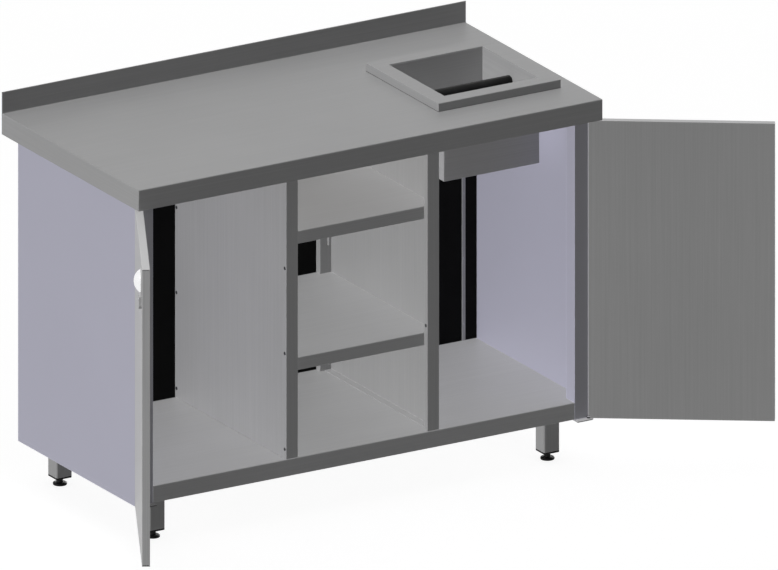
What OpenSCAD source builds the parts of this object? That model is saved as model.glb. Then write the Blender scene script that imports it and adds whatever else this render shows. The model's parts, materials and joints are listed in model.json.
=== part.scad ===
// Barista station of folded stainless sheet, in millimetres.
// +X runs to the right along the front, +Y to the back, +Z up. The origin is on the floor, midway
// between the four feet. The doors stand open, as they do at rest.

/* [Worktop] */
// Length of the worktop
top_l = 1200; // [1160:10:1500]
// Depth of the worktop
top_d = 600; // [580:5:700]
// Height of the work surface above the floor
top_z = 860; // [840:5:900]
// Height of the folded apron
apron_h = 50; // [40:1:60]
// Height of the rear upstand above the work surface
upstand_h = 50; // [30:5:100]
// Sheet thickness of the worktop
top_t = 1.5; // [1:0.1:2]
// Thickness of the board under the worktop sheet
core_t = 16; // [12:1:22]
// Distance from the worktop's end to the side panel
side_overhang = 20; // [15:1:30]
// Distance from the worktop's front edge to the carcass
front_overhang = 30; // [26:1:40]
// Distance from the carcass to the worktop's rear edge
rear_overhang = 39; // [20:1:60]
// Gap between the lips under the apron and the carcass
lip_gap = 2; // [1:0.5:3]

/* [Carcass] */
// Sheet thickness of the carcass
sheet_t = 1.2; // [1:0.1:1.5]
// Width of the side panels' front flanges
side_flange_w = 35; // [30:1:40]
// Width of the dividers' front flanges
flange_w = 31; // [26:1:40]
// Depth of the side panels' front return lips
side_lip = 38; // [20:1:50]
// Depth of the dividers' front return lips
divider_lip = 14; // [12:1:20]
// Width of the side panels' rear flanges
rear_flange_w = 40; // [30:1:50]
// Width of the flanges that carry the worktop
top_flange_w = 25; // [20:1:30]
// Width of the flanges along the bottom edges
base_flange_w = 20; // [12:1:24]
// Clear width of the left bay
left_bay_w = 344; // [320:1:380]
// Clear width of the right bay, wide enough for the knock box
right_bay_w = 350; // [340:1:380]
// Height of the carcass underside above the floor
base_z = 104; // [90:1:150]
// How far the side panels' hemmed feet reach below the carcass underside
skirt_h = 8.5; // [4:0.5:15]
// Height of the bottom rail
rail_h = 40; // [36:1:50]
// Depth of the lips under the bottom rails
rail_lip = 15; // [10:1:20]
// Gap between fixed pieces that fit side by side
fit_gap = 0.2; // [0.1:0.1:0.4]

/* [Back and posts] */
// Distance from the carcass rear to the front of the back panel
back_inset = 46; // [36:1:60]
// Thickness of the back panel
back_t = 6; // [4:1:10]
// Width of the strips that clamp the back panel
strip_w = 8; // [8:1:12]
// Thickness of the strips that clamp the back panel
strip_t = 2; // [1:0.5:3]
// Width of the rear posts
post_w = 30; // [24:1:36]
// Depth of the rear posts
post_d = 16; // [14:1:24]

/* [Shelves] */
// Height of the lower shelf above the floor panel
lower_shelf_up = 230; // [180:5:260]
// Height of the upper shelf above the floor panel
upper_shelf_up = 528; // [480:5:560]
// Height of the shelves' front lips
shelf_lip_h = 30; // [26:1:36]
// Depth of the fold under the shelves' front lips
shelf_fold = 12; // [8:1:16]
// Gap between the dividers' lips and the shelves
shelf_gap = 0.5; // [0.2:0.1:1]
// Width of the shelf angles' legs
angle_w = 20; // [16:1:24]
// Distance of the shelf angles from the shelf's front and from the rear posts
angle_inset = 50; // [30:5:80]

/* [Fasteners] */
// Radius of the divider rivets' heads
rivet_head_r = 4; // [3:0.5:5]
// Radius of the divider rivets' shanks
rivet_r = 2.4; // [2:0.1:2.6]
// Height of the rivet heads
rivet_head_t = 1.5; // [1:0.1:2]
// Distance of the front rivets behind the carcass front
rivet_front = 6; // [5.5:0.5:7]
// Distance of the rear rivets in front of the back panel
rivet_rear = 6; // [5.5:0.5:7]
// Heights of the three rivet rows above the floor panel: low
rivet_low = 23; // [15:1:60]
// Middle rivet row
rivet_mid = 249; // [240:1:300]
// High rivet row
rivet_high = 450; // [400:1:470]
// Radius of the back panel rivets
back_rivet_r = 1.6; // [1.2:0.1:2]
// Radius of the back panel rivets' heads
back_rivet_head_r = 2.6; // [2.2:0.1:2.7]
// Height of the back panel rivets' heads
back_rivet_head_t = 0.75; // [0.5:0.05:1]
// Distance of the first and last back rivets from the panel's ends
back_rivet_end = 40; // [20:5:80]
// Radius of the worktop screws
top_screw_r = 2; // [1.5:0.1:2.5]
// Radius of the worktop screws' heads
top_screw_head_r = 4; // [3:0.5:5]
// Height of the worktop screws' heads
top_screw_head_t = 1.5; // [1:0.1:2]
// Depth of the worktop screws in the board
top_screw_bite = 12; // [6:1:11]
// Distance of the worktop screws from the carcass front and from the back panel
top_screw_in = 90; // [70:5:120]
// Clearance of a fastener in its hole
hole_gap = 0.15; // [0.1:0.05:0.3]

/* [Legs and feet] */
// Side of the square leg tube
leg_w = 40; // [36:1:44]
// Wall of the leg tube
leg_wall = 1.5; // [1.2:0.1:2]
// Distance from the side panel's outer face to the leg's centre
leg_side = 70; // [70:1:80]
// Distance from the carcass front to the front legs' centres
leg_front = 60; // [56:1:90]
// Distance from the carcass rear to the rear legs' centres
leg_rear = 65; // [56:1:90]
// Side of the square plate on top of each leg
leg_plate_w = 76; // [72:1:78]
// Thickness of the leg plate
leg_plate_t = 3; // [2:0.5:4]
// Distance of the leg bolts from the leg's centre, along X and along Y
leg_bolt_off = 27; // [26:0.5:28]
// Radius of the leg bolts
leg_bolt_r = 3; // [2.5:0.1:3]
// Radius over the corners of the leg bolts' hexagon heads
leg_bolt_head_r = 5.7; // [5:0.1:5.8]
// Height of the leg bolts' heads
leg_bolt_head_h = 3; // [2:0.5:4]
// Length of the leg bolts' shanks
leg_bolt_l = 12; // [8:1:16]
// Width of the floor channels over the legs
channel_w = 80; // [80:1:84]
// Height of the leg tube's lower end above the floor
tube_end_z = 23; // [22:0.5:30]
// Thickness of the plug's visible band
plug_band = 4.5; // [3:0.5:5]
// Length of the plug inside the tube
plug_l = 22; // [15:1:30]
// Radius of the foot pad
pad_r = 16; // [12:1:20]
// Thickness of the foot pad
pad_h = 7; // [5:0.5:8]
// Height of the slope on the foot pad's edge
pad_slope_h = 2; // [0.5:0.5:3]
// Width of the slope on the foot pad's edge
pad_slope_w = 3; // [0.5:0.5:4]
// Radius of the neck on the foot pad
neck_r = 7; // [6.5:0.5:8]
// Height of the neck's top above the floor
neck_z = 13; // [10:0.5:13]
// Radius of the threaded spindle
spindle_r = 5; // [4:0.5:6]
// Height of the spindle's lower end, inside the foot pad
spindle_seat_z = 3.5; // [2:0.5:4]
// Height of the spindle's upper end above the floor
spindle_z = 62; // [50:1:70]
// Running clearance between a pin or spindle and its bore
run_gap = 0.05; // [0.02:0.01:0.09]

/* [Doors] */
// Thickness of the doors
door_t = 18; // [16:1:22]
// Sheet thickness of the door skins
skin_t = 1; // [0.8:0.1:1.2]
// Depth of the inner skin's folded edge
skin_fold = 8; // [5:1:8]
// Width of the dividers' front flanges that the closed doors leave bare
door_reveal = 0.5; // [0.5:0.5:8]
// Gap between the apron and the doors' tops
door_top_gap = 3; // [2.8:0.1:5]
// Gap between the doors' bottoms and the lower pivot plates
door_foot_gap = 1; // [0.6:0.1:2]
// Gap between a closed door and the carcass front
door_back_gap = 0.8; // [0.5:0.1:1.5]
// Opening angle of the left door at rest
left_open = 118.4; // [0:0.1:150]
// Opening angle of the right door at rest
right_open = 146.5; // [0:0.1:150]

/* [Pivots] */
// Distance of the pivot axis inside the side panel's outer face, small enough for wide opening
pivot_in = 1.2; // [0.8:0.1:1.3]
// Distance of the pivot axis in front of the carcass
pivot_ahead = 5; // [4.8:0.1:6]
// Radius of the pivot pin
pin_r = 2.5; // [2:0.1:2.6]
// Length of the pin's end past the leaf
pin_stub = 1.5; // [1:0.5:3]
// Thickness of the pivot plates on the carcass
plate_t = 2.5; // [2:0.1:2.5]
// Radius of the pivot plates' noses
plate_nose_r = 10; // [9:0.5:12]
// Length of the pivot plates from the axis
plate_l = 35; // [30:1:36]
// Reach of the lower pivot plates under the carcass
plate_reach = 40; // [30:1:44]
// Thickness of the leaves inside the doors
leaf_t = 2.5; // [2:0.1:3]
// Width of the leaves inside the doors
leaf_w = 8; // [7:0.5:8]
// Radius of the leaves' noses
leaf_nose_r = 4.6; // [4.4:0.1:4.7]
// Length of the leaves from the axis
leaf_l = 50; // [40:1:80]
// Wall of the bush between the pin and the leaf
bush_wall = 1; // [0.8:0.1:1.1]
// Radius of the bush's flange
bush_flange_r = 4.5; // [4.1:0.1:4.6]
// Clearance between turning faces that lie on each other
face_gap = 0.2; // [0.1:0.05:0.3]
// Clearance between a leaf's nose and the door around it
relief_gap = 0.5; // [0.4:0.1:0.8]

/* [Grips] */
// Distance from the door's free edge to the grip's centre
grip_edge = 45; // [40:1:70]
// Distance from the door's top to the grip's top
grip_top = 13; // [8:1:60]
// Height of the grip plate
grip_h = 88; // [80:1:130]
// Radius of the grip plate's lower corners
grip_corner_r = 9.5; // [4:0.5:12]
// Thickness of the grip plate behind the dome
grip_plate_t = 2; // [1.5:0.1:3]
// Thickness of the grip's lower block
grip_block_t = 6.5; // [5:0.5:10]
// Radius of the dome where it meets the plate
dome_r = 29; // [26:0.5:32]
// Distance the dome stands out from the door
dome_out = 17; // [16:0.5:24]
// Wall of the dome
dome_wall = 2; // [1.5:0.1:2.5]
// Distance of the dome's open side from its centre
dome_mouth = 10; // [6:1:14]
// Radius of the grip screws
grip_screw_r = 2; // [1.5:0.1:2.4]
// Radius of the grip screws' heads
grip_screw_head_r = 4; // [3:0.5:4.5]
// Height of the grip screws' heads
grip_screw_head_t = 1.5; // [1:0.1:2]
// Gap between the dome's open side and the screw beside it
grip_screw_gap = 1; // [0.5:0.5:3]
// Length of the grip screws inside the door
grip_screw_bite = 6; // [4:1:10]
// Height of the magnets
magnet_h = 40; // [20:5:60]
// Width of the magnets
magnet_w = 12; // [8:1:12]
// Thickness of the magnets
magnet_t = 4; // [3:0.5:6]
// Distance of the magnets from the door's free edge
magnet_edge = 5; // [4:0.5:5]
// Distance of the magnets' centres from the door's top and bottom
magnet_end = 150; // [100:10:200]

/* [Knock box] */
// Side of the raised collar
collar_s = 317; // [300:1:320]
// Height of the collar above the work surface
collar_h = 20; // [16:1:30]
// Distance from the worktop's right end to the collar
collar_right = 42; // [40:1:50]
// Distance from the worktop's front edge to the collar
collar_front = 112; // [100:1:150]
// Side of the opening in the collar
mouth_s = 242; // [230:1:244]
// Outer side of the bin
bin_s = 248; // [248:1:252]
// Wall of the bin and the collar
bin_wall = 1.5; // [1:0.1:2]
// Depth of the bin's underside below the work surface
bin_drop = 182; // [120:1:240]
// Width of the bin's top flange
bin_flange = 12; // [8:1:16]
// Clearance between the bin and the cut-out in the worktop
cut_gap = 4; // [3:0.5:5]
// How much further the board is cut back than the worktop sheet
core_cut = 3; // [0:1:6]
// Radius of the knock bar's rod
rod_r = 6; // [4:0.5:7]
// Radius of the rod's heads outside the bin
rod_head_r = 9; // [8:0.5:11]
// Thickness of the rod's heads
rod_head_t = 2; // [1:0.1:2.4]
// Radius of the knock bar's sleeve
sleeve_r = 12; // [10:0.5:15]
// Depth of the bar's centre below the work surface
bar_drop = 23; // [20:1:60]
// Gap between the sleeve's ends and the bin's walls
sleeve_gap = 0.5; // [0.3:0.1:1]

/* [Hidden] */
$fn = 64;
LEFT = -1;
RIGHT = 1;
SIDES = [LEFT, RIGHT];

// Overshoot of a cut past the faces that it opens
cut = 1;

// Plan of the worktop, carcass and legs
carcass_d = top_d - front_overhang - rear_overhang;
leg_pitch_y = carcass_d - leg_front - leg_rear;
x_top = top_l / 2;
x_side = x_top - side_overhang;
y_cf = -leg_pitch_y / 2 - leg_front;
y_cr = y_cf + carcass_d;
y_front = y_cf - front_overhang;
y_rear = y_front + top_d;
y_back = y_cr - back_inset;
y_back_rear = y_back + back_t;
y_post = y_back - post_d;
y_shelf = y_cf + divider_lip + shelf_gap;
x_leg = x_side - leg_side;
y_leg = leg_pitch_y / 2;
x_inner = x_side - sheet_t - fit_gap;
hem_t = 2 * sheet_t;
x_strip = -x_side + rear_flange_w - strip_w / 2;

// Heights of the worktop, carcass and doors
z_upstand = top_z + upstand_h;
z_frame = top_z - top_t - core_t;
z_apron = top_z - apron_h;
z_floor = base_z + rail_h;
z_web = base_z + leg_plate_t;
z_door_top = z_apron - door_top_gap;
z_door_foot = base_z + door_foot_gap;
rivet_rows = [for (up = [rivet_low, rivet_mid, rivet_high]) z_floor + up];
back_rivet_count = 5;
back_rivet_pitch = (z_frame - z_floor - 2 * back_rivet_end) / (back_rivet_count - 1);

// Door section, measured from the pivot axis with the door closed
y_inner_face = pivot_ahead - door_back_gap;
y_outer_face = y_inner_face - door_t;
y_leaf = y_inner_face - skin_t - fit_gap;
leaf_drop = 2 * skin_t + fit_gap;
core_inset = 2 * skin_t + 2 * fit_gap;
relief_r = leaf_nose_r + relief_gap;
relief_h = leaf_drop + leaf_t + pin_stub + relief_gap;
bush_r = pin_r + run_gap + bush_wall;
z_dome = z_door_top - grip_top - dome_r;
dome_ball_r = (dome_r * dome_r + dome_out * dome_out) / (2 * dome_out);

// Knock box
x_knock = x_top - collar_right - collar_s / 2;
y_knock = y_front + collar_front + collar_s / 2;
z_collar = top_z + collar_h;
z_bar = top_z - bar_drop;
cut_s = bin_s + 2 * cut_gap;
bin_inner_s = bin_s - 2 * bin_wall;

// Span of a given width about a centre
function around(c, w) = [c - w / 2, c + w / 2];
// Outer face of a divider, measured as if it stood on the left
function divider_x(s) = -x_side + side_flange_w + (s == LEFT ? left_bay_w : right_bay_w);
// Width of a door, from the side panel's outer face to the inner edge of the divider's flange
function door_w(s) = divider_x(s) + flange_w - door_reveal + x_side;
function open_angle(s) = s == LEFT ? left_open : right_open;
function grip_x(s) = door_w(s) - pivot_in - grip_edge;
// Points of the worktop screws on the left, for a side panel and a divider
function top_screws(s) = [
    for (x = [-x_side + top_flange_w / 2, divider_x(s) + top_flange_w / 2],
         y = [y_cf + top_screw_in, y_back - top_screw_in]) [x, y]
];
// Points of a grip's screws on the door's face: dome side, then lower block
function grip_screws(s) = [
    [grip_x(s) - dome_mouth - grip_screw_gap - grip_screw_head_r, z_dome, grip_plate_t],
    [grip_x(s), z_dome - grip_h / 2, grip_block_t]
];

module slab(x, y, z) translate([x[0], y[0], z[0]]) cube([x[1] - x[0], y[1] - y[0], z[1] - z[0]]);

// Draws a left-hand piece, mirrored for the right
module sided(s) {
    if (s == RIGHT) mirror([1, 0, 0]) children();
    else children();
}

module at_pivot(s) sided(s) translate([-x_side + pivot_in, y_cf - pivot_ahead, 0]) children();

// Door pieces are drawn closed, from the pivot axis towards +X, and turned to their rest angle
module hung(s) at_pivot(s) rotate([0, 0, -open_angle(s)]) children();

module bar_x(r, x, y, z) translate([x[0], y, z]) rotate([0, 90, 0]) cylinder(r = r, h = x[1] - x[0]);

module bar_y(r, x, y, z) translate([x, y[0], z]) rotate([-90, 0, 0]) cylinder(r = r, h = y[1] - y[0]);

// Worktop

module worktop() color([0.75, 0.75, 0.76]) difference() {
    union() {
        slab([-x_top, x_top], [y_front, y_rear], [top_z - top_t, top_z]);
        slab([-x_top, x_top], [y_front, y_front + top_t], [z_apron, top_z]);
        slab([-x_top, x_top], [y_front, y_cf - lip_gap], [z_apron, z_apron + top_t]);
        for (s = SIDES) sided(s) {
            slab([-x_top, -x_top + top_t], [y_front, y_rear], [z_apron, top_z]);
            slab([-x_top, -x_side - lip_gap], [y_front, y_rear], [z_apron, z_apron + top_t]);
        }
        slab([-x_top, x_top], [y_rear - 2 * top_t, y_rear], [top_z - top_t, z_upstand]);
        slab([-x_top, x_top], [y_rear - top_t, y_rear], [z_apron, z_upstand]);
        slab([-x_top, x_top], [y_cr + lip_gap, y_rear], [z_apron, z_apron + top_t]);
    }
    slab(around(x_knock, cut_s), around(y_knock, cut_s), [top_z - top_t - cut, top_z + cut]);
}

module worktop_core() color([0.72, 0.58, 0.40]) difference() {
    slab(around(0, 2 * (x_top - top_t - fit_gap)),
         [y_front + top_t + fit_gap, y_rear - 2 * top_t - fit_gap], [z_frame, top_z - top_t]);
    slab(around(x_knock, cut_s + 2 * core_cut), around(y_knock, cut_s + 2 * core_cut),
         [z_frame - cut, top_z]);
    for (s = SIDES, p = top_screws(s)) sided(s)
        translate([p[0], p[1], z_frame - cut])
            cylinder(r = top_screw_r + hole_gap, h = cut + top_screw_bite + hole_gap);
}

module worktop_screws() color([0.5, 0.5, 0.52])
    for (s = SIDES, p = top_screws(s)) sided(s) {
        translate([p[0], p[1], z_frame - sheet_t]) cylinder(r = top_screw_r, h = sheet_t + top_screw_bite);
        translate([p[0], p[1], z_frame - sheet_t - top_screw_head_t])
            cylinder(r1 = top_screw_r, r2 = top_screw_head_r, h = top_screw_head_t);
    }

module top_screw_holes(s) for (p = top_screws(s)) translate([p[0], p[1], z_frame - sheet_t - cut])
    cylinder(r = top_screw_r + hole_gap, h = sheet_t + 2 * cut);

// Carcass

module side_panel(s) sided(s) color([0.64, 0.64, 0.70]) difference() {
    x = -x_side;
    full = [base_z, z_frame];
    upper = [z_floor, z_frame];
    union() {
        slab([x, x + sheet_t], [y_cf, y_cr], full);
        slab([x, x + side_flange_w], [y_cf, y_cf + sheet_t], full);
        slab([x + side_flange_w - sheet_t, x + side_flange_w], [y_cf, y_cf + side_lip], upper);
        slab([x, x + rear_flange_w], [y_cr - sheet_t, y_cr], full);
        slab([x + rear_flange_w - sheet_t, x + rear_flange_w], [y_back_rear, y_cr], upper);
        slab([x + rear_flange_w - strip_w, x + rear_flange_w],
             [y_back_rear, y_back_rear + sheet_t], upper);
        slab([x, x + top_flange_w], [y_cf + side_lip + fit_gap, y_back - fit_gap],
             [z_frame - sheet_t, z_frame]);
        slab([x, x + base_flange_w], [y_cf, y_cr], [base_z, base_z + sheet_t]);
        slab([x, x + hem_t], [y_cf, y_cr], [base_z - skirt_h, base_z + sheet_t]);
    }
    top_screw_holes(s);
    back_rivet_holes();
}

module divider(s) sided(s) color([0.62, 0.62, 0.63]) difference() {
    x = divider_x(s);
    full = [z_floor, z_frame];
    run = [y_shelf + shelf_gap, y_post - shelf_gap];
    union() {
        slab([x, x + sheet_t], [y_cf, y_back], full);
        slab([x, x + flange_w], [y_cf, y_cf + sheet_t], full);
        slab([x + flange_w - sheet_t, x + flange_w], [y_cf, y_cf + divider_lip], full);
        slab([x, x + top_flange_w], run, [z_frame - sheet_t, z_frame]);
        slab([x, x + base_flange_w], run, [z_floor, z_floor + sheet_t]);
    }
    top_screw_holes(s);
    divider_rivet_holes(s);
}

module rear_post(s) sided(s) color([0.6, 0.6, 0.61]) difference() {
    x = divider_x(s) + sheet_t;
    slab([x, x + post_w], [y_post, y_back], [z_floor, z_frame]);
    slab([x + sheet_t, x + post_w - sheet_t], [y_post + sheet_t, y_back + cut],
         [z_floor - cut, z_frame + cut]);
    divider_rivet_holes(s);
}

// Rivets through a divider's skin, at its front and rear edges, and one through its front lip
module divider_rivet_set(s, r, head_r, head_t, grip) {
    x = divider_x(s);
    for (z = rivet_rows, rear = [false, true]) {
        y = rear ? y_back - rivet_rear : y_cf + rivet_front;
        through = sheet_t * (rear ? 2 : 1);
        bar_x(r, [x - grip, x + through + grip], y, z);
        bar_x(head_r, [x - head_t, x], y, z);
        bar_x(head_r, [x + through, x + through + head_t], y, z);
    }
    lip = x + flange_w;
    bar_x(r, [lip - sheet_t - grip, lip + grip], y_cf + rivet_front, rivet_rows[1]);
    bar_x(head_r, [lip, lip + head_t], y_cf + rivet_front, rivet_rows[1]);
    bar_x(head_r, [lip - sheet_t - head_t, lip - sheet_t], y_cf + rivet_front, rivet_rows[1]);
}

module divider_rivets() color([0.25, 0.25, 0.26])
    for (s = SIDES) sided(s) divider_rivet_set(s, rivet_r, rivet_head_r, rivet_head_t, 0);

module divider_rivet_holes(s) divider_rivet_set(s, rivet_r + hole_gap, rivet_r, sheet_t, cut);

module floor_panel() color([0.66, 0.66, 0.67]) {
    x_front = x_side - side_flange_w - fit_gap;
    x_rear = x_side - rear_flange_w - fit_gap;
    sheet = [z_floor - sheet_t, z_floor];
    slab([-x_inner, x_inner], [y_cf + sheet_t + fit_gap, y_cr - sheet_t - fit_gap], sheet);
    slab([-x_front, x_front], [y_cf, y_cf + leg_front], sheet);
    slab([-x_front, x_front], [y_cf, y_cf + sheet_t], [base_z, z_floor]);
    slab([-x_front, x_front], [y_cf, y_cf + rail_lip], [base_z, base_z + sheet_t]);
    slab([-x_rear, x_rear], [y_cr - leg_rear, y_cr], sheet);
    slab([-x_rear, x_rear], [y_cr - sheet_t, y_cr], [base_z, z_floor]);
    slab([-x_rear, x_rear], [y_cr - rail_lip, y_cr], [base_z, base_z + sheet_t]);
    for (s = SIDES) sided(s)
        slab([-x_inner, -x_inner + sheet_t], [y_cf + leg_front, y_cr - leg_rear],
             [base_z + sheet_t + fit_gap, z_floor]);
}

module floor_channels() color([0.58, 0.58, 0.6])
    for (s = SIDES) sided(s) difference() {
        slab(around(-x_leg, channel_w), [y_cf + sheet_t + fit_gap, y_cr - sheet_t - fit_gap],
             [z_web, z_floor - sheet_t]);
        slab(around(-x_leg, channel_w - 2 * sheet_t), [y_cf, y_cr], [z_web + sheet_t, z_floor]);
        leg_bolt_holes();
    }

// Shelves

module shelf(z) color([0.66, 0.66, 0.67]) {
    x0 = divider_x(LEFT) + sheet_t + fit_gap;
    x1 = -divider_x(RIGHT) - sheet_t - fit_gap;
    y1 = y_post - fit_gap;
    y2 = y_back - fit_gap;
    tongue = [x0 + post_w, x1 - post_w];
    slab([x0, x1], [y_shelf, y1], [z - sheet_t, z]);
    slab([x0, x1], [y_shelf, y_shelf + sheet_t], [z - shelf_lip_h, z]);
    slab([x0, x1], [y_shelf, y_shelf + shelf_fold], [z - shelf_lip_h, z - shelf_lip_h + sheet_t]);
    slab(tongue, [y1 - shelf_fold, y2], [z - sheet_t, z]);
    slab(tongue, [y2 - sheet_t, y2], [z - shelf_lip_h, z]);
}

module shelf_angles() color([0.58, 0.58, 0.6])
    for (s = SIDES, up = [lower_shelf_up, upper_shelf_up]) sided(s) {
        x = divider_x(s) + sheet_t;
        z = z_floor + up - sheet_t;
        run = [y_shelf + angle_inset, y_post - angle_inset];
        slab([x, x + sheet_t], run, [z - angle_w, z]);
        slab([x, x + angle_w], run, [z - sheet_t, z]);
    }

// Back

module back_panel() color([0.05, 0.05, 0.05]) difference() {
    slab([-x_inner, x_inner], [y_back, y_back_rear], [z_floor, z_frame]);
    for (s = SIDES) sided(s) back_rivet_holes();
}

module back_strips() color([0.5, 0.5, 0.5])
    for (s = SIDES) sided(s) difference() {
        slab(around(x_strip, strip_w), [y_back - strip_t, y_back], [z_floor, z_frame]);
        back_rivet_holes();
    }

module back_rivets() color([0.45, 0.45, 0.46])
    for (s = SIDES, i = [0 : back_rivet_count - 1]) sided(s) {
        z = z_floor + back_rivet_end + i * back_rivet_pitch;
        bar_y(back_rivet_r, x_strip, [y_back - strip_t, y_back_rear + sheet_t], z);
        bar_y(back_rivet_head_r, x_strip, [y_back - strip_t - back_rivet_head_t, y_back - strip_t], z);
        bar_y(back_rivet_head_r, x_strip,
              [y_back_rear + sheet_t, y_back_rear + sheet_t + back_rivet_head_t], z);
    }

module back_rivet_holes() for (i = [0 : back_rivet_count - 1])
    bar_y(back_rivet_r + hole_gap, x_strip, [y_back - strip_t - cut, y_back_rear + sheet_t + cut],
          z_floor + back_rivet_end + i * back_rivet_pitch);

// Legs and feet, drawn for the left: row -1 is the front, 1 the rear

module leg_bolt_holes() for (row = [-1, 1], a = [-1, 1], b = [-1, 1])
    translate([-x_leg + a * leg_bolt_off, row * y_leg + b * leg_bolt_off, base_z - cut])
        cylinder(r = leg_bolt_r + hole_gap, h = leg_plate_t + sheet_t + 2 * cut);

module leg(s, row) sided(s) color([0.62, 0.62, 0.63]) {
    y = row * y_leg;
    difference() {
        slab(around(-x_leg, leg_plate_w), around(y, leg_plate_w), [base_z, z_web]);
        leg_bolt_holes();
    }
    difference() {
        slab(around(-x_leg, leg_w), around(y, leg_w), [tube_end_z, base_z]);
        slab(around(-x_leg, leg_w - 2 * leg_wall), around(y, leg_w - 2 * leg_wall),
             [tube_end_z - cut, base_z]);
    }
}

module leg_bolts() color([0.5, 0.5, 0.52])
    for (s = SIDES, row = [-1, 1], a = [-1, 1], b = [-1, 1]) sided(s)
        translate([-x_leg + a * leg_bolt_off, row * y_leg + b * leg_bolt_off, base_z]) {
            cylinder(r = leg_bolt_r, h = leg_bolt_l);
            translate([0, 0, -leg_bolt_head_h]) rotate([0, 0, 30])
                cylinder(r = leg_bolt_head_r, h = leg_bolt_head_h, $fn = 6);
        }

module leg_plugs() color([0.08, 0.08, 0.08])
    for (s = SIDES, row = [-1, 1]) sided(s) difference() {
        inner_w = leg_w - 2 * leg_wall - 2 * fit_gap;
        union() {
            slab(around(-x_leg, leg_w), around(row * y_leg, leg_w),
                 [tube_end_z - plug_band, tube_end_z]);
            slab(around(-x_leg, inner_w), around(row * y_leg, inner_w),
                 [tube_end_z, tube_end_z + plug_l]);
        }
        translate([-x_leg, row * y_leg, 0]) cylinder(r = spindle_r + run_gap, h = base_z);
    }

module foot_pad(s, row) sided(s) color([0.08, 0.08, 0.08])
    translate([-x_leg, row * y_leg, 0]) difference() {
        union() {
            cylinder(r = pad_r, h = pad_h - pad_slope_h);
            translate([0, 0, pad_h - pad_slope_h])
                cylinder(r1 = pad_r, r2 = pad_r - pad_slope_w, h = pad_slope_h);
            cylinder(r = neck_r, h = neck_z);
        }
        translate([0, 0, spindle_seat_z]) cylinder(r = spindle_r + run_gap, h = neck_z);
    }

module spindle(s, row) sided(s) color([0.4, 0.4, 0.42])
    translate([-x_leg, row * y_leg, spindle_seat_z])
        cylinder(r = spindle_r, h = spindle_z - spindle_seat_z);

// Pivots: plates and pins on the carcass

module plate_shape(z, y_end) difference() {
    union() {
        translate([0, 0, z]) cylinder(r = plate_nose_r, h = plate_t);
        slab([0, plate_l], [-plate_nose_r, y_end], [z, z + plate_t]);
    }
    slab([-plate_nose_r - cut, plate_l], [y_end, y_end + plate_nose_r], [z - cut, z + plate_t + cut]);
    translate([0, 0, z - cut]) cylinder(r = pin_r, h = plate_t + 2 * cut);
}

// The lower plate lies under the front flange and stays clear of the side panel's hemmed foot
module pivot_plates(s) at_pivot(s) color([0.7, 0.7, 0.71]) {
    plate_shape(z_apron - plate_t, pivot_ahead);
    difference() {
        plate_shape(base_z - plate_t, pivot_ahead + plate_reach);
        slab([-plate_nose_r - cut, hem_t - pivot_in + fit_gap],
             [pivot_ahead - fit_gap, pivot_ahead + plate_reach + cut],
             [base_z - plate_t - cut, base_z + cut]);
    }
}

module pivot_pins(s) at_pivot(s) color([0.5, 0.5, 0.52]) {
    low = leaf_drop + leaf_t + pin_stub;
    translate([0, 0, z_door_top - low]) cylinder(r = pin_r, h = z_apron - z_door_top + low);
    translate([0, 0, base_z - plate_t]) cylinder(r = pin_r, h = z_door_foot - base_z + plate_t + low);
}

// Doors

// Mirrors a top corner piece of the door to the bottom corner
module both_ends() for (m = [0, 1])
    translate([0, 0, (z_door_top + z_door_foot) / 2]) mirror([0, 0, m])
        translate([0, 0, (z_door_top - z_door_foot) / 2]) children();

module pivot_relief() both_ends() translate([0, 0, -relief_h]) cylinder(r = relief_r, h = relief_h + cut);

module grip_screw_holes(s, depth) for (p = grip_screws(s))
    bar_y(grip_screw_r + hole_gap, p[0], [y_outer_face - cut - grip_block_t, y_outer_face + depth], p[1]);

module door_outer_skin(s) hung(s) color([0.66, 0.66, 0.67]) difference() {
    x0 = -pivot_in;
    x1 = door_w(s) - pivot_in;
    slab([x0, x1], [y_outer_face, y_inner_face - skin_t], [z_door_foot, z_door_top]);
    slab([x0 + skin_t, x1 - skin_t], [y_outer_face + skin_t, y_inner_face],
         [z_door_foot + skin_t, z_door_top - skin_t]);
    pivot_relief();
    grip_screw_holes(s, skin_t + cut);
}

module door_inner_skin(s) hung(s) color([0.6, 0.6, 0.61]) {
    edge = skin_t + fit_gap;
    x0 = -pivot_in;
    x1 = door_w(s) - pivot_in;
    difference() {
        union() {
            slab([x0, x1], [y_inner_face - skin_t, y_inner_face], [z_door_foot, z_door_top]);
            slab([x0 + edge, x1 - edge], [y_inner_face - skin_fold, y_inner_face],
                 [z_door_foot + edge, z_door_top - edge]);
        }
        slab([x0 + edge + skin_t, x1 - edge - skin_t], [y_outer_face, y_inner_face - skin_t],
             [z_door_foot + edge + skin_t, z_door_top - edge - skin_t]);
        pivot_relief();
    }
}

module door_core(s) hung(s) color([0.72, 0.58, 0.40]) difference() {
    slab([core_inset - pivot_in, door_w(s) - pivot_in - core_inset],
         [y_outer_face + skin_t, y_inner_face - skin_t],
         [z_door_foot + core_inset, z_door_top - core_inset]);
    pivot_relief();
    both_ends() slab([0, leaf_l + face_gap], [y_leaf - leaf_w - face_gap, y_leaf + face_gap],
                     [-leaf_drop - leaf_t - face_gap, cut]);
    magnet_shapes(s, face_gap);
    grip_screw_holes(s, skin_t + grip_screw_bite + face_gap);
}

module magnet_shapes(s, gap) {
    x = door_w(s) - pivot_in - magnet_edge;
    y = y_inner_face - skin_t;
    both_ends() slab([x - magnet_w - gap, x + gap], [y - magnet_t - gap, y],
                     around(-magnet_end, magnet_h + 2 * gap));
}

module door_magnets(s) hung(s) color([0.3, 0.3, 0.32]) magnet_shapes(s, 0);

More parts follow.
